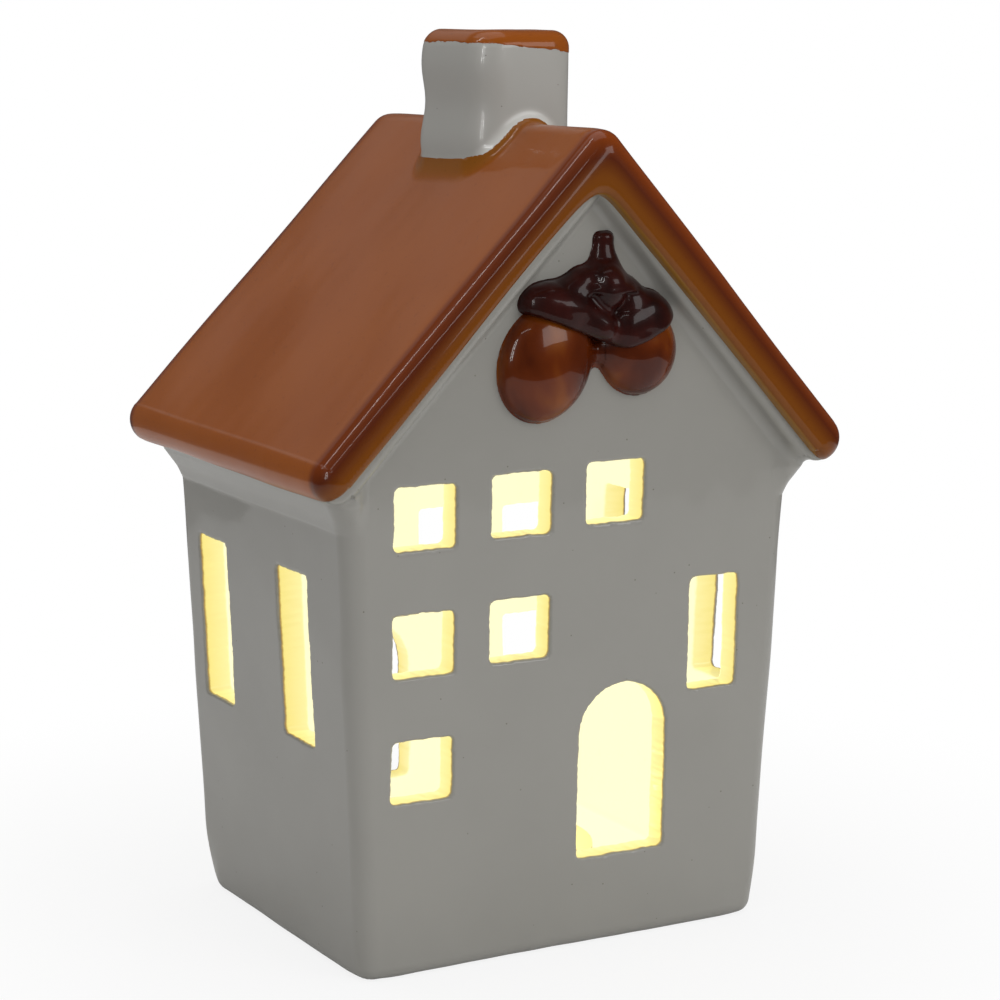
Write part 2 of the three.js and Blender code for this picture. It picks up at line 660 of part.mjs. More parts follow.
// A folded sheet frame, open below, that the slider runs in
function switchFrame() {
  const x = SWITCH_LENGTH / 2;
  const y = SWITCH_DEPTH / 2;
  const s = SWITCH_SHEET;
  const z0 = DECK_TOP + SEAM;
  const z1 = z0 + SWITCH_HEIGHT;
  const shell = solidBlock(-x, x, SWITCH_Y - y, SWITCH_Y + y, z0, z1);
  return shell.subtract(solidBlock(-x + s, x - s, SWITCH_Y - y + s, SWITCH_Y + y - s, 0, z1 - s));
}

function switchSlider() {
  const z0 = DECK_TOP + SEAM + SWITCH_SHEET;
  const z1 = z0 + SWITCH_HEIGHT - 3 * SWITCH_SHEET;
  const y = SWITCH_DEPTH / 2 - SWITCH_SHEET - CONTACT;
  const x = SWITCH_LENGTH / 2 - SWITCH_SHEET - CONTACT - KNOB_TRAVEL / 2;
  const k = KNOB / 2;
  const shoe = solidBlock(-x, x, SWITCH_Y - y, SWITCH_Y + y, z0, z1);
  const knob = solidBlock(-k, k, SWITCH_Y - k, SWITCH_Y + k, UNIT_LIFT + SEAM, z0 + SWITCH_SHEET);
  // It rests at the "on" end of its travel
  return shoe.add(knob).translate([-KNOB_TRAVEL / 2, 0, 0]);
}

function cell([x, y]) {
  const h = CELL_HEIGHT;
  const points = [
    [0, 0],
    [CELL_CAP_R, 0],
    [CELL_CAP_R + CELL_EDGE, CELL_CAP_HEIGHT],
    [CELL_R - CELL_EDGE, CELL_CAP_HEIGHT],
    [CELL_R, CELL_CAP_HEIGHT + CELL_EDGE],
    [CELL_R, h - CELL_EDGE],
    [CELL_R - CELL_EDGE, h],
    [0, h],
  ];
  const g = new THREE.LatheGeometry(points.map(([r, z]) => new THREE.Vector2(r, z)), 32);
  return toSolid(g.rotateX(Math.PI / 2).translate(x, y, CELL_Z));
}

function strip(from, to, z0, thick, width) {
  const dx = to[0] - from[0];
  const dy = to[1] - from[1];
  const length = Math.hypot(dx, dy) + width;
  const g = pillar(roundedRectangle(length, width, width / 2 - 0.01), z0, z0 + thick, 4);
  g.rotateZ(Math.atan2(dy, dx));
  return toSolid(g.translate((from[0] + to[0]) / 2, (from[1] + to[1]) / 2, 0));
}

const [cellA, cellB, cellC] = cellPlaces;

// A strip over the first cell, with a tab down to the LED
function contactPositive() {
  const x = LEAD_PITCH / 2;
  const tab = solidBlock(x - LEAD, x + LEAD, TAB_Y, TAB_Y + STRIP, LED_Z - CONTACT - LEAD, STRIP_Z + STRIP);
  const far = [0, CELL_RING + STRIP_REACH];
  return strip([0, TAB_Y + STRIP_WIDTH / 2], far, STRIP_Z, STRIP, STRIP_WIDTH)
    .add(solidBlock(x - LEAD, x + LEAD, TAB_Y, TAB_Y + STRIP_WIDTH, STRIP_Z, STRIP_Z + STRIP))
    .add(tab);
}

function contactLinkTop() {
  return strip(cellB, cellC, STRIP_Z, STRIP, STRIP_WIDTH);
}

// On the inner face of the battery cover
function contactLinkBottom() {
  return strip(cellA, cellB, COVER_TOP + CONTACT, STRIP, STRIP_WIDTH);
}

// A leaf in a slot of the third pocket, against the side of its cell
const LEAF_ANGLE = THREE.MathUtils.degToRad(CELL_ANGLES[2]);
const LEAF_R = CELL_RING + CELL_R + CONTACT;
const LEAF_FOOT = DECK_TOP + CONTACT;

function leafSlot() {
  const half = STRIP_WIDTH / 2 + SEAM;
  const far = CELL_RING + CELL_R + CELL_CLEAR + POCKET_WALL + SEAM;
  return toSolid(block(LEAF_R - CELL_R / 2, far, -half, half, DECK_TOP, UNIT_TOP).rotateZ(LEAF_ANGLE));
}

function contactNegative() {
  const half = STRIP_WIDTH / 2;
  return toSolid(block(LEAF_R, LEAF_R + STRIP, -half, half, LEAF_FOOT, POCKET_TOP).rotateZ(LEAF_ANGLE));
}

function batteryCover() {
  let cover = toSolid(pillar(coverOutline(COVER_R, COVER_CUT), UNIT_LIFT, COVER_TOP, 24));
  for (const [x, y] of screwPlaces) {
    cover = cover
      .subtract(solidRod(SCREW_R + SCREW_CLEAR, 0, UNIT_TOP, x, y, 20))
      .subtract(solidRod(SCREW_HEAD_R + SCREW_CLEAR, 0, UNIT_LIFT + SCREW_HEAD + CONTACT, x, y, 20));
  }
  return cover;
}

function coverScrew([x, y]) {
  const top = UNIT_LIFT + SCREW_HEAD;
  const head = solidRod(SCREW_HEAD_R, UNIT_LIFT, top, x, y, 20);
  const shank = solidRod(SCREW_R, UNIT_LIFT + SCREW_CROSS, UNIT_LIFT + SCREW_LENGTH, x, y, 16);
  const long = SCREW_CROSS_REACH;
  const half = SCREW_CROSS / 2;
  const cross = [
    solidBlock(x - long, x + long, y - half, y + half, 0, UNIT_LIFT + SCREW_CROSS),
    solidBlock(x - half, x + half, y - long, y + long, 0, UNIT_LIFT + SCREW_CROSS),
  ];
  return head.add(shank).subtract(cross[0]).subtract(cross[1]);
}

// A hookup wire along points chosen between the housings
function wire(points) {
  const section = new THREE.Shape();
  section.absarc(0, 0, WIRE_R, 0, 2 * Math.PI);
  const path = new THREE.CatmullRomCurve3(points.map((p) => new THREE.Vector3(...p)));
  return toSolid(new THREE.ExtrudeGeometry(section, { steps: 20, curveSegments: 8, extrudePath: path, bevelEnabled: false }));
}

// From the resistor to the switch, and from the switch round the inside of the shell to the leaf
const WIRE_Z = LEAD_FOOT + LEAD / 2;
const SWITCH_FRONT = SWITCH_Y + SWITCH_DEPTH / 2;
const resistorEnd = RESISTOR_Y - RESISTOR_LENGTH / 2 - RESISTOR_LEG;

function wireToSwitch() {
  return wire([
    [0, resistorEnd - SEAM, WIRE_Z],
    [0, resistorEnd - WIRE_BEND, WIRE_Z + WIRE_LIFT],
    [0, SWITCH_FRONT + WIRE_BEND, WIRE_Z + WIRE_LIFT],
    [0, SWITCH_FRONT + SEAM, WIRE_Z],
  ]);
}

function wireToBattery() {
  const high = WIRE_Z + WIRE_BEND;
  const along = PLUG_R - SHELL_WALL - WIRE_R - SEAM;
  const ring = WIRE_ANGLES.map((a) => [...onRing(along, a), high]);
  return wire([
    [SWITCH_LENGTH / 2 + SEAM, SWITCH_Y, WIRE_Z + WIRE_LIFT],
    [SWITCH_LENGTH / 2 + WIRE_BEND, SWITCH_Y - WIRE_LIFT, WIRE_Z + 2 * WIRE_LIFT],
    ...ring,
    [...onRing(LEAF_R + STRIP + SEAM, CELL_ANGLES[2] + 1), high],
  ]);
}

addSolid("house_walls", houseWalls(), MATERIALS.greyGlaze);
addSolid("roof", roof(), MATERIALS.brownGlaze);
addSolid("chimney_stack", chimneyStack(), MATERIALS.greyGlaze);
addSolid("chimney_rim", chimneyRim(), MATERIALS.brownGlaze);
const relief = acorns();
addSolid("acorn_left_nut", relief.leftNut, MATERIALS.nutGlaze);
addSolid("acorn_right_nut", relief.rightNut, MATERIALS.nutGlaze);
addSolid("acorn_left_cap", relief.leftCap, MATERIALS.capGlaze);
addSolid("acorn_right_cap", relief.rightCap, MATERIALS.capGlaze);
addSolid("acorn_stem", relief.stem, MATERIALS.capGlaze);
addSolid("light_base", lightBase(), MATERIALS.housing);
addSolid("light_shell", lightShell(), MATERIALS.housing);
addSolid("led_lens", ledLens(), MATERIALS.lens);
addSolid("led_anode_lead", anodeLead(), MATERIALS.tin);
addSolid("led_cathode_lead", cathodeLead(), MATERIALS.tin);
addSolid("resistor", resistor(), MATERIALS.resistor);
addSolid("switch_frame", switchFrame(), MATERIALS.tin);
addSolid("switch_slider", switchSlider(), MATERIALS.knob);
cellPlaces.forEach((place, i) => addSolid(`battery_${i + 1}`, cell(place), MATERIALS.tin));
addSolid("contact_positive", contactPositive(), MATERIALS.spring);
addSolid("contact_negative", contactNegative(), MATERIALS.spring);
addSolid("contact_link_top", contactLinkTop(), MATERIALS.spring);
addSolid("contact_link_bottom", contactLinkBottom(), MATERIALS.spring);
addSolid("battery_cover", batteryCover(), MATERIALS.cover);
screwPlaces.forEach((place, i) => addSolid(`cover_screw_${i + 1}`, coverScrew(place), MATERIALS.tin));
addSolid("wire_to_switch", wireToSwitch(), MATERIALS.red);
addSolid("wire_to_battery", wireToBattery(), MATERIALS.black);

export default group;
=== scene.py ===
"""Looks of the light-up ceramic house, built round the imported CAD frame. Distances are in
millimetres and become metres when a mesh is made."""

import math

import bpy
import numpy as np
import openvdb
from mathutils import Matrix, Vector


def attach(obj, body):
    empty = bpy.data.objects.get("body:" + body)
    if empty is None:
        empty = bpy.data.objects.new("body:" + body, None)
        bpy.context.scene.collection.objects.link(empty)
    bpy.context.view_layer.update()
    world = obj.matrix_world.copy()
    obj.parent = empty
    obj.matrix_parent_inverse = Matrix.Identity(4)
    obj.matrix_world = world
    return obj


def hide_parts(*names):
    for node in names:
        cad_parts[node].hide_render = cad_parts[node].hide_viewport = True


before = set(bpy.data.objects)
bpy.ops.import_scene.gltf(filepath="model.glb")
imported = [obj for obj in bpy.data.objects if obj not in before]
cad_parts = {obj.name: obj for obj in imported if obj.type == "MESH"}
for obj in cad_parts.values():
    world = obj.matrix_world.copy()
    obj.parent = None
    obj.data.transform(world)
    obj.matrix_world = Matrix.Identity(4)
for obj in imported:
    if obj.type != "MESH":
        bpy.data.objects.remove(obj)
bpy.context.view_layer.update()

MM = 0.001

# House body
BASE_WIDTH = 76.7
BASE_DEPTH = 62.2
EAVE_Z = 74.6
EAVE_WIDTH = 83.8
EAVE_DEPTH = 65.6
LEAN_X = (EAVE_WIDTH / BASE_WIDTH - 1) / EAVE_Z
LEAN_Y = (EAVE_DEPTH / BASE_DEPTH - 1) / EAVE_Z
WALL = 4.6
CORNER_R = 3.2
INNER_CORNER_R = 2.4
ROOM_TOP_R = 2.0
ROOM_FLOOR_R = 1.0
FLOOR_TOP = 6.5
HOLE_R = 20.7
HOLE_EDGE = 0.5

# Foot, with corners that are worn most at the back left
FOOT_EDGE = 2.0
FOOT_WORN = 12.0
WORN_BACK_LEFT = 2.6
WORN_ELSEWHERE = 0.8
WORN_FROM = (0.4, 0.38)
FOOT_RECESS = 3.0
RECESS_EDGE = 0.6
FOOT_RING = 4.6
FOOT_CORNER_R = 2.5

# Roof
PITCH = math.radians(46.7)
SIN = math.sin(PITCH)
COS = math.cos(PITCH)
RIDGE_Z = 136.7
RIDGE_R = 4.0
RIDGE_X = 1.7
ROOF_THICK = 5.7
SEAM = 0.3
EAVE_R = 4.0
TIP_X = 49.0 - EAVE_R
TIP_Z = RIDGE_Z - SIN / COS * TIP_X - EAVE_R / COS
ROOF_DEPTH = 77.8
VERGE_EDGE = 3.3
VERGE_INSET = 0.1
SLAB_EDGE = 1.3
SHOULDER_AT = 32.5
SHOULDER = 0.013
RIGHT_GLAZE = 0.9
RIGHT_GLAZE_X = (-5.0, 8.0)
APEX_ROUND = 2.6
BORDER_X = 0.8

# Pale band under the roof, and the flare of the walls under the eaves
BAND_THICK = 2.4
BAND_DEPTH = 72.8
BAND_EDGE = 1.5
BAND_NOSE_GAP = 0.25
BAND_NOSE_EDGE = 0.5
BAND_FILLET = 1.8
SOFFIT_Z = TIP_Z - EAVE_R - 0.4
SOFFIT_RISE = 0.24
SOFFIT_EDGE = 0.8
COVE_FOOT = 74.2
COVE_TOP = 78.2
COVE_OUT = 2.5
COVE_BACK = 2.5
COVE_OUT_BACK = 0.6
COVE_CORNER = (35.0, 41.0)
COVE_FILLET = 1.0

# Chimney
STACK_WIDTH = 19.3
STACK_DEPTH = 22.8
STACK_X = 1.75
STACK_Y = -1.8
STACK_R = 5.5
STACK_TOP = 150.0
STACK_EDGE = 2.8
STACK_FILLET = 2.3
STACK_SPREAD = 0.8 * STACK_FILLET
ROOF_UNDER_STACK = 0.5
SWELL = 0.35
SWELL_Z = 144.5
SWELL_LENGTH = 13
SWELL_LEFT = (2.0, 9.0)
BROWN_CLIMB = 1.1
SIDE_CLIMB = 0.7
SIDE_CLIMB_X = (7.5, 10.0)
RIM_LOW = 147.2
RIM_FALL = 0.085
RIM_EDGE = 0.2
LINING_LOW = 139.0
LINING_EDGE = (0.5, 1.5)
FLUE_WIDTH = 12.0
FLUE_DEPTH = 15.4
FLUE_R = 2.6
FLUE_EDGE = 1.1

# Openings in the walls
PANE = (5.5, 5.1)
PANE_R = 0.9
PANE_COLUMNS = (-27.9, -10.4, 7.0)
PANE_ROWS = (35.0, 55.5, 75.95)
PANES = ((0, 2), (1, 2), (2, 2), (0, 1), (1, 1), (0, 0))
PANE_TILT = 0.04
TALL = (4.8, 9.6)
TALL_AT = (27.0, 51.2)
DOOR_HALF = 8.45
DOOR_X = 9.7
DOOR_SILL = 15.1
DOOR_TOP = 44.4
SIDE = (5.7, 14.1)
SIDE_Z = 50.3
SIDE_PLACES = (-12.0, 19.0)
BACK_RAISE = 3.6
BACK_PANE_SHIFT = 1.5
BACK_DOOR_SHIFT = -2.2
OPENING_EDGE = 0.4

# Unevenness of the hand-made surfaces. Each wave has its depth, its length and its seed.
WALL_WAVES = ((0.13, 42, 1), (0.03, 9, 2))
ROOF_WAVES = ((0.16, 34, 3), (0.012, 8, 4))
STACK_WAVES = ((0.1, 15, 5),)
RIM_WAVES = ((0.2, 7, 6), (0.13, 1.7, 7))
CLIMB_WAVES = ((0.2, 11, 8),)
CAP_WAVES = ((0.08, 4.0, 9),)
FRONT_WAVES = ((0.07, 4.5, 11), (0.08, 1.4, 13))
SIDE_WAVES = ((0.07, 5.0, 12), (0.08, 1.4, 14))

# Acorn relief on the front gable. Each swelling has its place on the wall, its half sizes, its
# lean in degrees and how far it stands out.
NUTS = (
    ((-7.0, 98.4), (8.2, 9.5), -22, 4.3),
    ((10.2, 99.7), (7.0, 7.3), 18, 4.2),
)
CAP_LEFT = (
    ((-4.6, 107.0), (7.4, 4.3), -12, 4.9),
    ((1.2, 104.0), (4.8, 3.6), -20, 4.7),
    ((-1.4, 111.0), (3.8, 2.2), 30, 3.0),
)
CAP_RIGHT = (
    ((9.9, 105.4), (5.8, 4.1), 3, 4.8),
    ((6.6, 103.4), (3.0, 3.2), 0, 4.6),
    ((7.4, 108.6), (2.4, 3.0), -25, 3.0),
)
KNOB = ((2.9, 110.2), (3.8, 4.5), -8, 5.4)
KNOB_FOOT = 109.6
STEM_X = 3.3
STEM_TOP = 118.8
STEM_R = 1.65
STEM_NECK = 117.2
STEM_FLARE = 0.19
STEM_CURVE = 1.6
STEM_FLAT = 1.15
CAP_LIP = 0.8
CAP_SPLIT = 4.5
NUT_SPLIT = 3.4
NUT_UNDER_CAP = 1.2

# Fillets and edges of the relief, and how deep it sinks into the wall
NUT_BLEND = 3.4
CAP_BLEND = 1.8
HOOD_BLEND = 1.2
HOOD_ON_NUT = 1.6
STEM_ON_KNOB = 0.6
KNOB_ON_HOOD = 1.1
LIP_BLEND = 0.6
RELIEF_EDGE = 1.0
WALL_FILLET = 0.45
SUNK = 1.0

# Lower edges of the caps: a point on the line, and the line's upward normal
LIP_LEFT = ((-3.5, 103.85), (0.345, 0.938))
LIP_RIGHT = ((10.0, 101.7), (-0.361, 0.932))
LIP_BEND = 0.012
LIP_BEND_X = 9.5

# How far one glaze laps over the next, and how far the upper one stands proud
LAP = 0.9
LAP_OVER = 0.3
PROUD = 0.08
NUT_PROUD = 0.05

# Size of the cells that the surfaces are meshed with, and how far apart slopes are measured
WALL_CELL = 0.5
ROOF_CELL = 0.55
STACK_CELL = 0.33
RIM_CELL = 0.28
ACORN_CELL = 0.28
SNAP_STEPS = 3
SNAP_REACH = 0.05
NORMAL_REACH = 0.12

# Colours as they show on a screen, 0 to 255
GREY = (144, 142, 136)
GREY_SPREAD = 4
HALO = (244, 243, 238)
PINHOLE = (108, 103, 94)
# Dark base colour of the reveals, under the painted glow
REVEAL_UNDER_PAINTED_GLOW = (60, 55, 35)
BROWN_DARK = (138, 68, 8)
BROWN_LIGHT = (152, 80, 14)
BROWN_POOL = (132, 80, 12)
BROWN_SPECK = (70, 25, 5)

# Depth in the wall, and the colour of the painted glow there: the LED's light painted onto the reveals
# and inner faces as emission
PAINTED_GLOW_DEPTH = 8
PAINTED_GLOW_FADE = 2.0
PAINTED_GLOW = (
    (0.0, (0, 0, 0)),
    (0.32, (0, 0, 0)),
    (0.5, (160, 122, 40)),
    (0.75, (244, 226, 132)),
    (4.1, (250, 238, 160)),
    (4.55, (255, 251, 206)),
)

# Pale halo above the brown glaze at the foot of the stack, from 0 to 1
HALO_LEAST = 0.24
HALO_MORE = 0.5
HALO_Y = (8.5, 11.0)
HALO_FADE = (-0.3, 1.9)

# Height above the glaze's lower border at the verge, and the colour there: the pale line at the border
# is a painted highlight, and the dark band higher up is partly deeper glaze and partly painted shade
VERGE_HEIGHT = 8
VERGE_GLAZE_AND_PAINTED_LIGHT = (
    (0.0, (140, 98, 40)),
    (0.16, (118, 64, 3)),
    (2.0, (112, 58, 2)),
    (4.0, (84, 30, 2)),
    (6.4, (126, 54, 2)),
)

# Camera at the photograph's viewpoint: place in metres, turn in degrees and lens
CAMERA_PLACE = (-0.2269, -0.4020, 0.1532)
CAMERA_TURN = (29.90, 10.14, 0.39)
CAMERA_LENS = 98.56
SENSOR_WIDTH = 36

# Lamps: place and size in metres, power, and whether only glossy surfaces see them
LAMP_AIM = (0, 0, 0.07)
LAMPS = (
    ("left strip", (-0.80, -0.44, 0.45), (0.02, 0.5), 1.0, True),
    ("second left strip", (-0.75, -0.53, 0.45), (0.02, 0.5), 1.0, True),
    ("high strip", (-0.50, 0.12, 0.92), (0.035, 0.4), 1.0, True),
    ("low strip", (-0.43, -0.56, 0.82), (0.4, 0.02), 0.25, True),
    ("front softbox", (0.45, -0.95, 0.55), (0.7, 0.5), 3.8, False),
    ("top softbox", (0.0, 0.15, 1.0), (0.8, 0.8), 2.4, False),
)
LED_PLACE = (0, 0, 0.020)
LED_POWER = 0.05
LED_COLOUR = (1.0, 0.86, 0.5)
LED_RADIUS = 0.003

# The world: even light, and what glossy surfaces mirror before and behind the house
AMBIENT = 0.64
ROOM_MIRRORED = 0.06
BACKDROP_MIRRORED = (0.15, 0.5)
BACKDROP_FROM = (0.72, 0.80)
BACKDROP_RISE = (0.37, 0.48)

# Table under the house, in metres, and where it turns plain white
TABLE_HALF = 0.3
TABLE_GREY = 0.8
SHADOW_REACH = (0.05, 0.16)
SHADOW_FADE = 0.85


def length2(a, b):
    return np.sqrt(a * a + b * b)


def round_cut(a, b, r):
    """What two solids share, with its edge rounded."""
    return np.minimum(-r, np.maximum(a, b)) + length2(np.maximum(r + a, 0), np.maximum(r + b, 0))


def round_join(a, b, r):
    """Two solids together, with a fillet between them."""
    return np.maximum(r, np.minimum(a, b)) - length2(np.maximum(r - a, 0), np.maximum(r - b, 0))


def rectangle(x, y, half_x, half_y, r):
    qx = np.abs(x) - (half_x - r)
    qy = np.abs(y) - (half_y - r)
    return length2(np.maximum(qx, 0), np.maximum(qy, 0)) + np.minimum(np.maximum(qx, qy), 0) - r


def smooth(value, start, end):
    t = np.clip((value - start) / (end - start), 0, 1)
    return t * t * (3 - 2 * t)


def uneven(x, y, z, size, seed, count=5):
    """A slow unevenness between about -1 and 1, as hand work leaves it."""
    rng = np.random.default_rng(seed)
    total = 0.0
    for _ in range(count):
        d = rng.normal(size=3)
        d *= 2 * math.pi * rng.uniform(0.7, 1.4) / (size * np.linalg.norm(d))
        total = total + np.sin(d[0] * x + d[1] * y + d[2] * z + rng.uniform(0, 2 * math.pi))
    return total / count * 1.6


def waves(x, y, z, rows):
    return sum(depth * uneven(x, y, z, size, seed) for depth, size, seed in rows)


def unskewed(x, z):
    """Where a point would lie across the house if the ridge were in the middle."""
    return x - RIDGE_X * (z - TIP_Z) / (RIDGE_Z - TIP_Z)


def slopes(x, z):
    """Distance above the two outer slopes of the roof."""
    return np.abs(unskewed(x, z)) * SIN + (z - RIDGE_Z) * COS


def brown_edge(x, z):
    """Distance above the lower border of the brown glaze, which is blunt in the apex."""
    across = x - BORDER_X * (z - TIP_Z) / (RIDGE_Z - TIP_Z)
    rounded = np.sqrt(across * across + APEX_ROUND**2) * SIN + (z - RIDGE_Z) * COS
    return rounded + ROOF_THICK + RIGHT_GLAZE * smooth(x, *RIGHT_GLAZE_X)


def leaning(x, y, z):
    """Place across and along the house as if its walls stood upright."""
    return x / (1 + LEAN_X * z), y / (1 + LEAN_Y * z)


def house_body(x, y, z):
    sides = rectangle(*leaning(x, y, z), BASE_WIDTH / 2, BASE_DEPTH / 2, CORNER_R)
    corner = smooth(np.abs(x) / BASE_WIDTH, WORN_FROM[0], 0.5)
    corner = corner * smooth(np.abs(y) / BASE_DEPTH, WORN_FROM[1], 0.5)
    most = np.where((x < 0) & (y > 0), WORN_BACK_LEFT, WORN_ELSEWHERE)
    worn = most * corner * (np.maximum(FOOT_WORN - z, 0) / FOOT_WORN) ** 2
    return round_cut(sides + worn, -z, FOOT_EDGE)


def room(x, y, z):
    half_x = BASE_WIDTH / 2 - WALL
    half_y = BASE_DEPTH / 2 - WALL
    sides = rectangle(*leaning(x, y, z), half_x, half_y, INNER_CORNER_R)
    ceiling = slopes(x, z) + ROOF_THICK + SEAM + BAND_THICK
    return round_cut(round_cut(sides, ceiling, ROOM_TOP_R), FLOOR_TOP - z, ROOM_FLOOR_R)


def door(x, z, middle):
    across = x - middle
    rise = np.maximum(z - (DOOR_TOP - DOOR_HALF), 0)
    return round_cut(length2(across, rise) - DOOR_HALF, DOOR_SILL - z, PANE_R)


def openings(x, y, z, lift=0.0, pane_shift=0.0, door_shift=0.0):
    """Windows and door of one gable and the windows of the side wall to its left."""
    front = np.minimum(
        door(x, z, DOOR_X + door_shift),
        rectangle(x - TALL_AT[0], z - TALL_AT[1] - lift, *TALL, PANE_R),
    )
    for column, row in PANES:
        middle = PANE_COLUMNS[column]
        height = PANE_ROWS[row] + lift + PANE_TILT * (middle - PANE_COLUMNS[1])
        front = np.minimum(front, rectangle(x - middle - pane_shift, z - height, *PANE, PANE_R))
    front = np.maximum(front + waves(x, 0.2 * y, z, FRONT_WAVES), y)
    side = 1e3
    for place in SIDE_PLACES:
        side = np.minimum(side, rectangle(y - place, z - SIDE_Z - lift, *SIDE, PANE_R))
    side = np.maximum(side + waves(0.2 * x, y, z, SIDE_WAVES), x)
    return np.minimum(front, side)


def flue_sides(x, y):
    return rectangle(x - STACK_X, y - STACK_Y, FLUE_WIDTH / 2, FLUE_DEPTH / 2, FLUE_R)


def flue(x, y, z):
    return np.maximum(flue_sides(x, y), EAVE_Z - z)


def eave_nose(x, z):
    """Distance outside the round eave, and how far a point lies beyond the end of the slope."""
    a = np.abs(x)
    beyond = (a - TIP_X) * COS - (z - TIP_Z) * SIN
    return length2(a - TIP_X, z - TIP_Z) - EAVE_R, beyond


def cove(x, y, z):
    """The walls flare out under the eaves, and round the corners there."""
    flare = COVE_OUT * np.clip((z - COVE_FOOT) / (COVE_TOP - COVE_FOOT), -0.2, 1)
    corner = smooth(np.abs(x), *COVE_CORNER)
    half_x = BASE_WIDTH / 2 * (1 + LEAN_X * COVE_FOOT) + flare
    half_y = BASE_DEPTH / 2 * (1 + LEAN_Y * COVE_FOOT) - COVE_BACK
    half_y = half_y + (COVE_BACK + COVE_OUT_BACK * flare) * corner
    sides = rectangle(x, y, half_x, half_y, CORNER_R)
    return np.maximum(np.maximum(sides, COVE_FOOT - z), z - TIP_Z)


def band(x, y, z):
    """The pale band that carries the brown saddle, with its soffit and its round nose."""
    under = slopes(x, z) + ROOF_THICK + SEAM + BAND_THICK
    nose, beyond = eave_nose(x, z)
    soffit = SOFFIT_Z + SOFFIT_RISE * (np.abs(x) - TIP_X) - z
    solid = round_cut(np.abs(y) - BAND_DEPTH / 2, -under, BAND_EDGE)
    solid = round_cut(solid, np.where(beyond > 0, nose + BAND_NOSE_GAP, -EAVE_R), BAND_NOSE_EDGE)
    return round_cut(solid, soffit, SOFFIT_EDGE)


def walls(x, y, z):
    body = round_join(house_body(x, y, z), cove(x, y, z), COVE_FILLET)
    solid = round_join(body, band(x, y, z), BAND_FILLET) + waves(x, y, z, WALL_WAVES)
    solid = np.maximum(solid, slopes(x, z) + ROOF_THICK - LAP)
    solid = np.maximum(solid, -room(x, y, z))
    back = openings(-x, -y, z, BACK_RAISE, BACK_PANE_SHIFT, BACK_DOOR_SHIFT)
    solid = round_cut(solid, -np.minimum(openings(x, y, z), back), OPENING_EDGE)
    half_x = BASE_WIDTH / 2 - FOOT_RING
    half_y = BASE_DEPTH / 2 - FOOT_RING
    recess = np.maximum(rectangle(x, y, half_x, half_y, FOOT_CORNER_R), z - FOOT_RECESS)
    solid = round_cut(solid, -recess, RECESS_EDGE)
    solid = round_cut(solid, HOLE_R - length2(x, y), HOLE_EDGE)
    solid = np.maximum(solid, -z)
    return np.maximum(solid, -flue(x, y, z))


def hull(x, z):
    """Outer form of the roof: two slopes, a rounded ridge and round eaves."""
    across = unskewed(x, z)
    right = across * SIN + (z - RIDGE_Z) * COS
    left = -across * SIN + (z - RIDGE_Z) * COS
    nose, beyond = eave_nose(x, z)
    return np.where(beyond > 0, nose, round_cut(right, left, RIDGE_R))


def slab(x, y, z):
    """The brown saddle, rounded towards its verges and eaves."""
    top = hull(x, z) + SHOULDER * np.maximum(np.abs(y) - SHOULDER_AT, 0) ** 2
    solid = round_cut(top, np.abs(y) - ROOF_DEPTH / 2 + VERGE_INSET, VERGE_EDGE)
    return round_cut(solid, -brown_edge(x, z), SLAB_EDGE) + waves(x, y, z, ROOF_WAVES)


def brown_climb(x, y, z):
    """How far the brown glaze climbs up the stack: more at its sides than at its front."""
    sides = smooth(np.abs(x - STACK_X), *SIDE_CLIMB_X)
    return BROWN_CLIMB + SIDE_CLIMB * sides + waves(x, y, 0 * z, CLIMB_WAVES)


def roof(x, y, z):
    """The slab, with brown glaze that climbs a little up the foot of the stack."""
    column = stack_outline(x, y, z)
    plain = slab(x, y, z)
    foot = round_join(plain, column, STACK_FILLET) - PROUD
    solid = np.maximum(foot, plain - brown_climb(x, y, z))
    solid = np.maximum(solid, np.minimum(plain, -column - ROOF_UNDER_STACK))
    return np.maximum(solid, -flue(x, y, z))


def stack_outline(x, y, z, grow=0.0):
    """The stack's upright faces. The left one swells a little near the top and at the foot."""
    left = smooth(STACK_X - x, *SWELL_LEFT)
    swell = SWELL * np.cos((z - SWELL_Z) * 2 * math.pi / SWELL_LENGTH) * left
    half_x = STACK_WIDTH / 2 + grow
    half_y = STACK_DEPTH / 2 + grow
    return rectangle(x - STACK_X, y - STACK_Y, half_x, half_y, STACK_R + grow) - swell


def chimney(x, y, z):
    solid = round_cut(stack_outline(x, y, z), z - STACK_TOP, STACK_EDGE)
    return round_cut(solid + waves(x, y, z, STACK_WAVES), -flue(x, y, z), FLUE_EDGE)


def rim_edge(x, y, z):
    """Above the wavy lower edge of the brown rim, which reaches deeper inside the flue."""
    inside = 1 - smooth(flue_sides(x, y), *LINING_EDGE)
    low = RIM_LOW - RIM_FALL * (x - STACK_X) + waves(x, y, 0 * z, RIM_WAVES)
    return z - low + (RIM_LOW - LINING_LOW) * inside


def stack(x, y, z):
    solid = round_join(chimney(x, y, z), slab(x, y, z), STACK_FILLET)
    solid = np.maximum(solid, stack_outline(x, y, z, STACK_SPREAD))
    solid = np.maximum(solid, -(slopes(x, z) + ROOF_THICK))
    solid = np.maximum(solid, rim_edge(x, y, z) - LAP_OVER)
    return np.maximum(solid, -flue(x, y, z))


def rim(x, y, z):
    return round_cut(chimney(x, y, z) - PROUD, -rim_edge(x, y, z), RIM_EDGE)


def front_at(z):
    return -BASE_DEPTH / 2 * (1 + LEAN_Y * z)


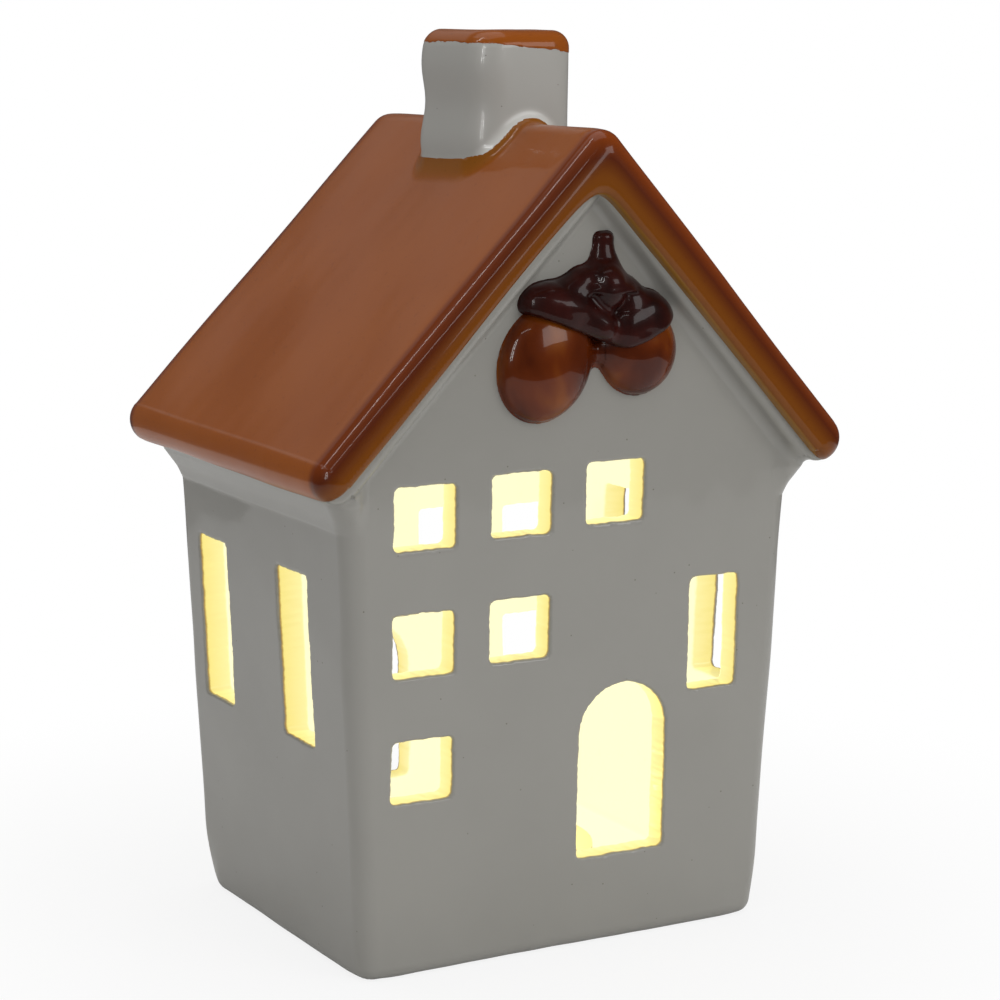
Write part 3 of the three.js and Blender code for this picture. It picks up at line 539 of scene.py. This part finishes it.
def lump(x, y, z, at, half, lean, out):
    """Roughly the distance to an egg-shaped swelling on the front wall."""
    a = math.radians(lean)
    u = ((x - at[0]) * math.cos(a) + (z - at[1]) * math.sin(a)) / half[0]
    v = (-(x - at[0]) * math.sin(a) + (z - at[1]) * math.cos(a)) / half[1]
    w = (y - front_at(z)) / out
    k = np.sqrt(u**2 + v**2 + w**2)
    rate = np.sqrt((u / half[0]) ** 2 + (v / half[1]) ** 2 + (w / out) ** 2)
    return k * (k - 1) / np.maximum(rate, 0.02)


def lumps(x, y, z, places, blend):
    total = None
    for place in places:
        one = lump(x, y, z, *place)
        total = one if total is None else round_join(total, one, blend)
    return total


def nuts(x, y, z):
    return lumps(x, y, z, NUTS, NUT_BLEND)


def stem(x, y, z):
    """A short twig that widens downwards into the knob between the caps, with a blunt tip."""
    radius = STEM_R + STEM_FLARE * np.maximum(STEM_NECK - z, 0) ** STEM_CURVE
    beside = np.sqrt((x - STEM_X) ** 2 + (STEM_FLAT * (y - front_at(z))) ** 2)
    return round_cut(round_cut(beside - radius, z - STEM_TOP, RELIEF_EDGE), KNOB_FOOT - z, RELIEF_EDGE)


def caps(x, y, z):
    """The dark hoods over both nuts, with the knob and the stem above them."""
    left = lumps(x, y, z, CAP_LEFT, CAP_BLEND)
    right = lumps(x, y, z, CAP_RIGHT, CAP_BLEND)
    hoods = round_join(left, right, HOOD_BLEND)
    hoods = round_join(hoods, nuts(x, y, z) - CAP_LIP, HOOD_ON_NUT)
    hoods = round_cut(hoods, -lip_line(x, z), RELIEF_EDGE)
    top = round_join(lump(x, y, z, *KNOB), stem(x, y, z), STEM_ON_KNOB)
    return round_join(hoods, top, KNOB_ON_HOOD) + waves(x, y, z, CAP_WAVES)


def above_caps(x, z):
    """Below zero in the knob and the twig above it, seen from the front."""
    at, half, _, _ = KNOB
    knob = length2((x - at[0]) / half[0], (z - at[1]) / half[1]) * half[0] - half[0]
    return np.minimum(knob, np.maximum(np.abs(x - STEM_X) - half[0], at[1] - z))


def above_line(x, z, line):
    at, normal = line
    return (x - at[0]) * normal[0] + (z - at[1]) * normal[1]


def lip_line(x, z):
    """Above the lower edge of the two caps."""
    right = above_line(x, z, LIP_RIGHT) - LIP_BEND * (x - LIP_BEND_X) ** 2
    return round_join(above_line(x, z, LIP_LEFT), right, LIP_BLEND)


def on_wall(field, proud):
    """A raised form with a small fillet to the wall, cut off just outside its own outline."""
    def solid(x, y, z):
        face = house_body(x, y, z) + waves(x, y, z, WALL_WAVES)
        form = field(x, y, z)
        joined = round_join(form, face, WALL_FILLET) - proud
        return np.maximum(np.maximum(joined, form - LAP_OVER), -(face + SUNK))
    return solid


def surface(name, field, lo, hi, cell, body, slot, nodes, material, attributes=()):
    """Meshes the zero surface of a distance field, rides it on a body and hides the CAD nodes it
    stands in for.
    """
    low = np.array(lo, dtype=float) - 2 * cell
    high = np.array(hi, dtype=float) + 2 * cell
    axes = [np.arange(a, b + cell, cell) for a, b in zip(low, high)]
    grids = np.meshgrid(*axes, indexing="ij", sparse=True)
    values = np.broadcast_to(field(*grids), [len(a) for a in axes]).astype(np.float32)
    values = np.clip(values, -3 * cell, 3 * cell)
    grid = openvdb.FloatGrid(3 * cell)
    grid.copyFromArray(values)
    points, quads = grid.convertToQuads(isovalue=0.0)
    points = points.astype(float) * cell + low
    for _ in range(SNAP_STEPS):
        value, slope = value_and_slope(field, points, SNAP_REACH)
        move = value[:, None] * slope / np.maximum((slope**2).sum(1), 0.2)[:, None]
        points -= np.clip(move, -0.5 * cell, 0.5 * cell)
    _, normals = value_and_slope(field, points, NORMAL_REACH)
    normals /= np.maximum(np.linalg.norm(normals, axis=1), 1e-6)[:, None]
    a, b, c = (points[quads[:, k]] for k in (0, 1, 2))
    facing = (np.cross(b - a, c - a) * normals[quads[:, 0]]).sum(1)
    if facing.mean() < 0:
        quads = quads[:, ::-1]
    mesh = bpy.data.meshes.new(name)
    mesh.from_pydata(points * MM, [], quads)
    mesh.update()
    for label, function in attributes:
        data = np.broadcast_to(function(*points.T), len(points)).astype(np.float32)
        mesh.attributes.new(label, "FLOAT", "POINT").data.foreach_set("value", data)
    mesh.polygons.foreach_set("use_smooth", np.ones(len(mesh.polygons), dtype=bool))
    mesh.normals_split_custom_set_from_vertices(normals)
    piece = bpy.data.objects.new(name, mesh)
    bpy.context.scene.collection.objects.link(piece)
    mesh.materials.append(material)
    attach(piece, body)
    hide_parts(*nodes)
    print(name, len(points), "points")


def value_and_slope(field, points, h):
    x, y, z = points.T
    slope = np.stack(
        [
            field(x + h, y, z) - field(x - h, y, z),
            field(x, y + h, z) - field(x, y - h, z),
            field(x, y, z + h) - field(x, y, z - h),
        ],
        axis=1,
    )
    return field(x, y, z), slope / (2 * h)


def linear(r, g, b):
    """A colour given as it shows on a screen, 0 to 255."""
    out = []
    for c in (r, g, b):
        c /= 255
        out.append(c / 12.92 if c <= 0.04045 else ((c + 0.055) / 1.055) ** 2.4)
    return (*out, 1.0)


class Finish:
    """A procedural material, written as a chain of nodes."""

    def __init__(self, name, roughness=0.3, coat=0.0, coat_roughness=0.05, metallic=0.0, ior=1.5):
        self.material = bpy.data.materials.new(name)
        self.material.use_nodes = True
        self.tree = self.material.node_tree
        self.shader = self.tree.nodes["Principled BSDF"]
        self.shader.inputs["Roughness"].default_value = roughness
        self.shader.inputs["Coat Weight"].default_value = coat
        self.shader.inputs["Coat Roughness"].default_value = coat_roughness
        self.shader.inputs["Metallic"].default_value = metallic
        self.shader.inputs["IOR"].default_value = ior
        self.place = self.tree.nodes.new("ShaderNodeTexCoord").outputs["Object"]

    def link(self, value, socket):
        if isinstance(value, bpy.types.NodeSocket):
            self.tree.links.new(value, socket)
        else:
            socket.default_value = value

    def set(self, socket, value):
        self.link(value, self.shader.inputs[socket])
        return self

    def attribute(self, name):
        node = self.tree.nodes.new("ShaderNodeAttribute")
        node.attribute_name = name
        return node.outputs["Fac"]

    def noise(self, size_mm, detail=2.0, stretch=(1, 1, 1), distort=0.0):
        """Noise from 0 to 1 whose blotches are about size_mm across."""
        scaled = self.tree.nodes.new("ShaderNodeMapping")
        scaled.inputs["Scale"].default_value = stretch
        self.tree.links.new(self.place, scaled.inputs["Vector"])
        node = self.tree.nodes.new("ShaderNodeTexNoise")
        node.inputs["Scale"].default_value = 1 / (size_mm * MM)
        node.inputs["Detail"].default_value = detail
        node.inputs["Distortion"].default_value = distort
        self.tree.links.new(scaled.outputs["Vector"], node.inputs["Vector"])
        return node.outputs["Fac"]

    def cells(self, size_mm):
        """Distance to scattered points, for pinholes."""
        node = self.tree.nodes.new("ShaderNodeTexVoronoi")
        node.inputs["Scale"].default_value = 1 / (size_mm * MM)
        self.tree.links.new(self.place, node.inputs["Vector"])
        return node.outputs["Distance"]

    def ramp(self, value, stops, reach=1):
        """Colours along a value that runs from 0 to reach."""
        node = self.tree.nodes.new("ShaderNodeValToRGB")
        self.link(value, node.inputs["Fac"])
        bar = node.color_ramp.elements
        while len(bar) < len(stops):
            bar.new(0.5)
        for element, (at, colour) in zip(bar, stops):
            element.position = at / reach
            element.color = linear(*colour)
        return node.outputs["Color"]

    def math(self, operation, a, b=0.0, c=0.0):
        node = self.tree.nodes.new("ShaderNodeMath")
        node.operation = operation
        for value, socket in zip((a, b, c), node.inputs):
            self.link(value, socket)
        return node.outputs[0]

    def span(self, value, start, end):
        """0 below start, 1 above end."""
        node = self.tree.nodes.new("ShaderNodeMapRange")
        node.interpolation_type = "SMOOTHSTEP"
        self.link(value, node.inputs["Value"])
        node.inputs["From Min"].default_value = start
        node.inputs["From Max"].default_value = end
        return node.outputs["Result"]

    def mix(self, share, a, b):
        node = self.tree.nodes.new("ShaderNodeMix")
        node.data_type = "RGBA"
        self.link(share, node.inputs["Factor"])
        self.link(a, node.inputs["A"])
        self.link(b, node.inputs["B"])
        return node.outputs["Result"]

    def bump(self, height, depth_mm, strength=1.0, coat_too=True):
        node = self.tree.nodes.new("ShaderNodeBump")
        node.inputs["Strength"].default_value = strength
        node.inputs["Distance"].default_value = depth_mm * MM
        self.link(height, node.inputs["Height"])
        self.tree.links.new(node.outputs["Normal"], self.shader.inputs["Normal"])
        if coat_too:
            self.tree.links.new(node.outputs["Normal"], self.shader.inputs["Coat Normal"])
        return self


def grey_glaze():
    """Grey glaze with pinholes outside. Where it lies in a wall it carries a painted glow, the LED's
    light painted as emission over a dark base.
    """
    f = Finish("grey glaze with painted glow", roughness=0.4, coat=0.4, coat_roughness=0.06)
    darker = linear(*[c - GREY_SPREAD for c in GREY])
    lighter = linear(*[c + GREY_SPREAD for c in GREY])
    grey = f.mix(f.noise(20, 3), darker, lighter)
    halo = f.math("MULTIPLY", f.attribute("halo"), 0.7)
    grey = f.mix(halo, grey, linear(*HALO))
    dots = f.span(f.cells(3.1), 0.030, 0.055)
    most = f.span(f.noise(7, 0), 0.5, 0.56)
    grey = f.mix(f.math("MAXIMUM", dots, most), linear(*PINHOLE), grey)
    wobble = f.math("MULTIPLY_ADD", f.noise(1.1, 2), 0.3, -0.15)
    inward = f.math("ADD", f.attribute("depth"), wobble)
    # Painted glow: emission that stands in for the LED's light on the reveals and inner faces, over a
    # dark base colour
    glow = f.ramp(f.math("MULTIPLY", inward, 1 / PAINTED_GLOW_DEPTH), PAINTED_GLOW, PAINTED_GLOW_DEPTH)
    under_painted_glow = f.span(inward, 0.25, 0.6)
    f.set("Base Color", f.mix(under_painted_glow, grey, linear(*REVEAL_UNDER_PAINTED_GLOW)))
    f.set("Emission Color", glow)
    f.set("Emission Strength", 1.0)
    f.bump(f.noise(5, 2), 0.05, 0.6)
    return f.material


def brown_glaze():
    """Caramel glaze, pooled at the foot of the stack. Along the verges it is streaked, with a painted
    highlight line at the lower border and a dark band that is partly painted shade.
    """
    f = Finish("brown glaze", roughness=0.35, coat=0.4, coat_roughness=0.05)
    f.set("Specular IOR Level", 0.1)
    brown = f.mix(f.noise(19, 3), linear(*BROWN_DARK), linear(*BROWN_LIGHT))
    # Verge bands: a painted highlight at the lower border, and a dark band that is partly deeper glaze
    # and partly painted shade
    verge = f.math("SUBTRACT", 1.0, f.span(f.attribute("front"), 3.4, 5.2))
    height = f.math("MULTIPLY", f.attribute("edge"), 1 / VERGE_HEIGHT)
    brown = f.mix(verge, brown, f.ramp(height, VERGE_GLAZE_AND_PAINTED_LIGHT, VERGE_HEIGHT))
    pool = f.math("SUBTRACT", 1.0, f.span(f.attribute("foot"), 0.4, 2.6))
    brown = f.mix(f.math("MULTIPLY", pool, 0.75), brown, linear(*BROWN_POOL))
    specks = f.span(f.noise(0.9, 1), 0.68, 0.74)
    brown = f.mix(f.math("MULTIPLY", specks, 0.15), brown, linear(*BROWN_SPECK))
    f.set("Base Color", brown)
    f.bump(f.noise(7, 2), 0.07, 0.5)
    return f.material


def nut_glaze():
    f = Finish("nut glaze", roughness=0.25, coat=0.45, coat_roughness=0.03)
    f.set("Specular IOR Level", 0.1)
    cloud = f.noise(8, 2, (1, 1, 0.6), 0.5)
    f.set("Base Color", f.ramp(cloud, [(0.3, (66, 20, 1)), (0.5, (92, 36, 3)), (0.75, (132, 70, 10))]))
    f.bump(f.noise(5, 1), 0.08, 0.5)
    return f.material


def cap_glaze():
    f = Finish("cap glaze", roughness=0.35, coat=0.3, coat_roughness=0.04)
    f.set("Specular IOR Level", 0.1)
    f.set("Base Color", f.ramp(f.noise(4, 2), [(0.3, (30, 7, 5)), (0.7, (52, 13, 8))]))
    f.bump(f.noise(2.6, 2), 0.09, 0.4)
    return f.material


def moulded(name, colour, roughness=0.5):
    f = Finish(name, roughness=roughness)
    darker = linear(*[c * 0.94 for c in colour])
    f.set("Base Color", f.mix(f.noise(9, 2), linear(*colour), darker))
    f.bump(f.noise(0.35, 2), 0.02, 0.5)
    return f.material


def metal(name, colour, roughness=0.3, grain=(1, 1, 12)):
    f = Finish(name, roughness=roughness, metallic=1.0)
    darker = linear(*[c * 0.86 for c in colour])
    f.set("Base Color", f.mix(f.noise(2.5, 3, grain), linear(*colour), darker))
    f.set("Roughness", f.math("MULTIPLY_ADD", f.noise(1.2, 3, grain), 0.25, roughness - 0.12))
    f.bump(f.noise(0.4, 2, grain), 0.01, 0.4, False)
    return f.material


def glowing_lens():
    f = Finish("led lens", roughness=0.08, coat=0.5, ior=1.45)
    f.set("Base Color", linear(255, 240, 205))
    glow = f.ramp(f.noise(2, 1), [(0.3, (255, 236, 176)), (0.7, (255, 246, 206))])
    f.set("Emission Color", glow)
    f.set("Emission Strength", 1.0)
    return f.material


# Distances in millimetres that the materials read from the surface

def painted_glow_depth(x, y, z):
    """How deep a point lies in the walls, which sets the painted glow, and nothing under the floor or
    outside.
    """
    depth = -rectangle(*leaning(x, y, z), BASE_WIDTH / 2, BASE_DEPTH / 2, CORNER_R)
    return depth * smooth(z, FLOOR_TOP - PAINTED_GLOW_FADE, FLOOR_TOP)


def nothing(x, y, z):
    return 0 * x


def far_off(x, y, z):
    return 0 * x + 100.0


def stack_halo(x, y, z):
    """Highest just above the brown glaze at the front of the stack's foot."""
    front = smooth(np.abs(y - STACK_Y), *HALO_Y)
    low = 1 - smooth(slab(x, y, z) - BROWN_CLIMB, *HALO_FADE)
    return HALO_LEAST + HALO_MORE * front * low


def above_edge(x, y, z):
    return brown_edge(x, z)


def behind_verge(x, y, z):
    return ROOF_DEPTH / 2 - np.abs(y)


# Parts of the relief, split seen from the front. A side is 1 for the left half, -1 for the right.

def nut_half(side):
    def field(x, y, z):
        split = (x - NUT_SPLIT) * side - LAP_OVER
        form = np.maximum(on_wall(nuts, NUT_PROUD)(x, y, z), split)
        return np.maximum(form, lip_line(x, z) - NUT_UNDER_CAP)
    return field


def cap_half(side):
    def field(x, y, z):
        split = (x - CAP_SPLIT) * side - LAP_OVER
        form = np.maximum(on_wall(caps, PROUD)(x, y, z), split)
        return np.maximum(form, -above_caps(x, z) - LAP_OVER)
    return field


def stem_part(x, y, z):
    return np.maximum(on_wall(caps, PROUD)(x, y, z), above_caps(x, z) - LAP_OVER)


def build_ceramic():
    glaze = grey_glaze()
    brown = brown_glaze()
    cap = cap_glaze()
    nut = nut_glaze()
    # The depth attribute drives the painted glow on the reveals and inner faces
    surface("walls_glazed", walls, (-48, -38, 0), (48, 38, 132), WALL_CELL, "house", "grey_glaze",
            ["house_walls"], glaze, [("depth", painted_glow_depth), ("halo", nothing)])
    surface("roof_glazed", roof, (-50, -39, 78), (50, 39, 139), ROOF_CELL, "house", "brown_glaze",
            ["roof"], brown,
            [("edge", above_edge), ("front", behind_verge), ("foot", stack_outline)])
    surface("stack_glazed", stack, (-13, -19, 117), (16, 15, 150), STACK_CELL, "house",
            "grey_glaze", ["chimney_stack"], glaze, [("depth", nothing), ("halo", stack_halo)])
    surface("rim_glazed", rim, (-10, -15, 137), (14, 11, 151), RIM_CELL, "house", "brown_glaze",
            ["chimney_rim"], brown, [("edge", rim_edge), ("front", far_off), ("foot", far_off)])
    relief = (
        ("acorn_left_nut", nut_half(1), "nut_glaze", nut),
        ("acorn_right_nut", nut_half(-1), "nut_glaze", nut),
        ("acorn_left_cap", cap_half(1), "cap_glaze", cap),
        ("acorn_right_cap", cap_half(-1), "cap_glaze", cap),
        ("acorn_stem", stem_part, "cap_glaze", cap),
    )
    for node, field, slot, material in relief:
        surface(node + "_glazed", field, (-18, -38.5, 86), (20, -30.5, 121), ACORN_CELL, "house",
                slot, [node], material)


def dress_nodes():
    """Materials of the CAD nodes that stay."""
    cream = moulded("cream plastic", (216, 205, 158))
    looks = {
        "light_base": cream,
        "light_shell": cream,
        "battery_cover": moulded("cover plastic", (216, 205, 178)),
        "led_lens": glowing_lens(),
        "switch_slider": moulded("black plastic", (26, 26, 28), 0.4),
        "switch_frame": metal("switch sheet", (196, 198, 200)),
        "resistor": moulded("resistor lacquer", (196, 166, 120), 0.3),
        "wire_to_switch": moulded("red insulation", (168, 30, 24), 0.4),
        "wire_to_battery": moulded("black insulation", (30, 30, 30), 0.4),
    }
    tin = metal("tinned wire", (205, 205, 206))
    steel = metal("cell can", (200, 200, 202))
    spring = metal("spring sheet", (204, 182, 120))
    zinc = metal("zinc screw", (186, 187, 190))
    for name in ("led_anode_lead", "led_cathode_lead"):
        looks[name] = tin
    for name in ("battery_1", "battery_2", "battery_3"):
        looks[name] = steel
    for name in ("contact_positive", "contact_negative", "contact_link_top", "contact_link_bottom"):
        looks[name] = spring
    for name in ("cover_screw_1", "cover_screw_2"):
        looks[name] = zinc
    for name, material in looks.items():
        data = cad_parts[name].data
        data.materials.clear()
        data.materials.append(material)


def add_object(name, data):
    made = bpy.data.objects.new(name, data)
    bpy.context.scene.collection.objects.link(made)
    return made


def set_camera():
    """The photograph's viewpoint, fitted to the windows, corners and roof lines."""
    yaw, pitch, roll = (math.radians(a) for a in CAMERA_TURN)
    level = Vector((math.sin(yaw), math.cos(yaw), 0))
    forward = level * math.cos(pitch) - Vector((0, 0, math.sin(pitch)))
    right = Vector((math.cos(yaw), -math.sin(yaw), 0))
    up = right.cross(forward)
    across = right * math.cos(roll) + up * math.sin(roll)
    upward = up * math.cos(roll) - right * math.sin(roll)
    data = bpy.data.cameras.new("camera")
    data.lens = CAMERA_LENS
    data.sensor_width = SENSOR_WIDTH
    data.clip_start = 0.01
    camera = add_object("camera", data)
    turn = Matrix((across, upward, -forward)).transposed()
    camera.matrix_world = Matrix.Translation(Vector(CAMERA_PLACE)) @ turn.to_4x4()
    bpy.context.scene.camera = camera


def set_light():
    for name, place, size, power, mirrored_only in LAMPS:
        data = bpy.data.lights.new(name, "AREA")
        data.shape = "RECTANGLE"
        data.size, data.size_y = size
        data.energy = power
        lamp = add_object(name, data)
        lamp.location = place
        lamp.rotation_mode = "QUATERNION"
        lamp.rotation_quaternion = (Vector(LAMP_AIM) - Vector(place)).to_track_quat("-Z", "Y")
        lamp.visible_diffuse = not mirrored_only
    glow = bpy.data.lights.new("led light", "POINT")
    glow.energy = LED_POWER
    glow.color = LED_COLOUR
    glow.shadow_soft_size = LED_RADIUS
    led = add_object("led light", glow)
    led.location = LED_PLACE
    led.visible_glossy = False


def set_world():
    """Even white light. Seen directly it is plain white, and glossy surfaces mirror a white
    backdrop behind the house and a dimmer room above it and in front of it."""
    world = bpy.data.worlds.new("studio")
    bpy.context.scene.world = world
    world.use_nodes = True
    tree = world.node_tree
    tree.nodes.clear()

    def node(kind, **values):
        made = tree.nodes.new(kind)
        for name, value in values.items():
            setattr(made, name, value)
        return made

    def span(source, start, result):
        made = node("ShaderNodeMapRange", interpolation_type="SMOOTHSTEP")
        for name, value in zip(("From Min", "From Max", "To Min", "To Max"), (*start, *result)):
            made.inputs[name].default_value = value
        tree.links.new(source, made.inputs["Value"])
        return made.outputs["Result"]

    def blend(share, first, second):
        made = node("ShaderNodeMix", data_type="FLOAT")
        tree.links.new(share, made.inputs["Factor"])
        for name, value in (("A", first), ("B", second)):
            if isinstance(value, float):
                made.inputs[name].default_value = value
            else:
                tree.links.new(value, made.inputs[name])
        return made.outputs["Result"]

    way = node("ShaderNodeSeparateXYZ")
    tree.links.new(node("ShaderNodeTexCoord").outputs["Generated"], way.inputs[0])
    behind = span(way.outputs["Y"], BACKDROP_FROM, (0.0, 1.0))
    backdrop = span(way.outputs["Z"], BACKDROP_RISE, BACKDROP_MIRRORED)
    mirrored = blend(behind, ROOM_MIRRORED, backdrop)
    path = node("ShaderNodeLightPath")
    level = blend(path.outputs["Is Glossy Ray"], AMBIENT, mirrored)
    seen = node("ShaderNodeMath", operation="MAXIMUM")
    tree.links.new(path.outputs["Is Camera Ray"], seen.inputs[0])
    tree.links.new(path.outputs["Is Transmission Ray"], seen.inputs[1])
    strength = blend(seen.outputs[0], level, 1.0)
    back = node("ShaderNodeBackground")
    back.inputs["Color"].default_value = (1, 1, 1, 1)
    tree.links.new(strength, back.inputs["Strength"])
    out = node("ShaderNodeOutputWorld")
    tree.links.new(back.outputs[0], out.inputs["Surface"])


def set_floor():
    """A white table. Near the house it shows the house's shadow, farther off it is plain white."""
    mesh = bpy.data.meshes.new("floor")
    s = TABLE_HALF
    mesh.from_pydata([(-s, -s, 0), (s, -s, 0), (s, s, 0), (-s, s, 0)], [], [(0, 1, 2, 3)])
    floor = add_object("floor", mesh)
    material = bpy.data.materials.new("white table")
    material.use_nodes = True
    tree = material.node_tree
    tree.nodes.clear()
    paper = tree.nodes.new("ShaderNodeBsdfDiffuse")
    paper.inputs["Color"].default_value = (TABLE_GREY, TABLE_GREY, TABLE_GREY, 1)
    white = tree.nodes.new("ShaderNodeEmission")
    white.inputs["Color"].default_value = (1, 1, 1, 1)
    white.inputs["Strength"].default_value = 1.0
    place = tree.nodes.new("ShaderNodeTexCoord")
    reach = tree.nodes.new("ShaderNodeVectorMath")
    reach.operation = "LENGTH"
    tree.links.new(place.outputs["Object"], reach.inputs[0])
    far = tree.nodes.new("ShaderNodeMapRange")
    far.interpolation_type = "SMOOTHSTEP"
    far.inputs["From Min"].default_value = SHADOW_REACH[0]
    far.inputs["From Max"].default_value = SHADOW_REACH[1]
    far.inputs["To Min"].default_value = SHADOW_FADE
    tree.links.new(reach.outputs["Value"], far.inputs["Value"])
    path = tree.nodes.new("ShaderNodeLightPath")
    share = tree.nodes.new("ShaderNodeMath")
    share.operation = "MULTIPLY"
    tree.links.new(far.outputs["Result"], share.inputs[0])
    tree.links.new(path.outputs["Is Camera Ray"], share.inputs[1])
    both = tree.nodes.new("ShaderNodeMixShader")
    tree.links.new(share.outputs[0], both.inputs["Fac"])
    tree.links.new(paper.outputs[0], both.inputs[1])
    tree.links.new(white.outputs[0], both.inputs[2])
    out = tree.nodes.new("ShaderNodeOutputMaterial")
    tree.links.new(both.outputs[0], out.inputs["Surface"])
    mesh.materials.append(material)


set_camera()
set_light()
set_world()
set_floor()
dress_nodes()
build_ceramic()
bpy.context.scene.view_settings.view_transform = "Standard"
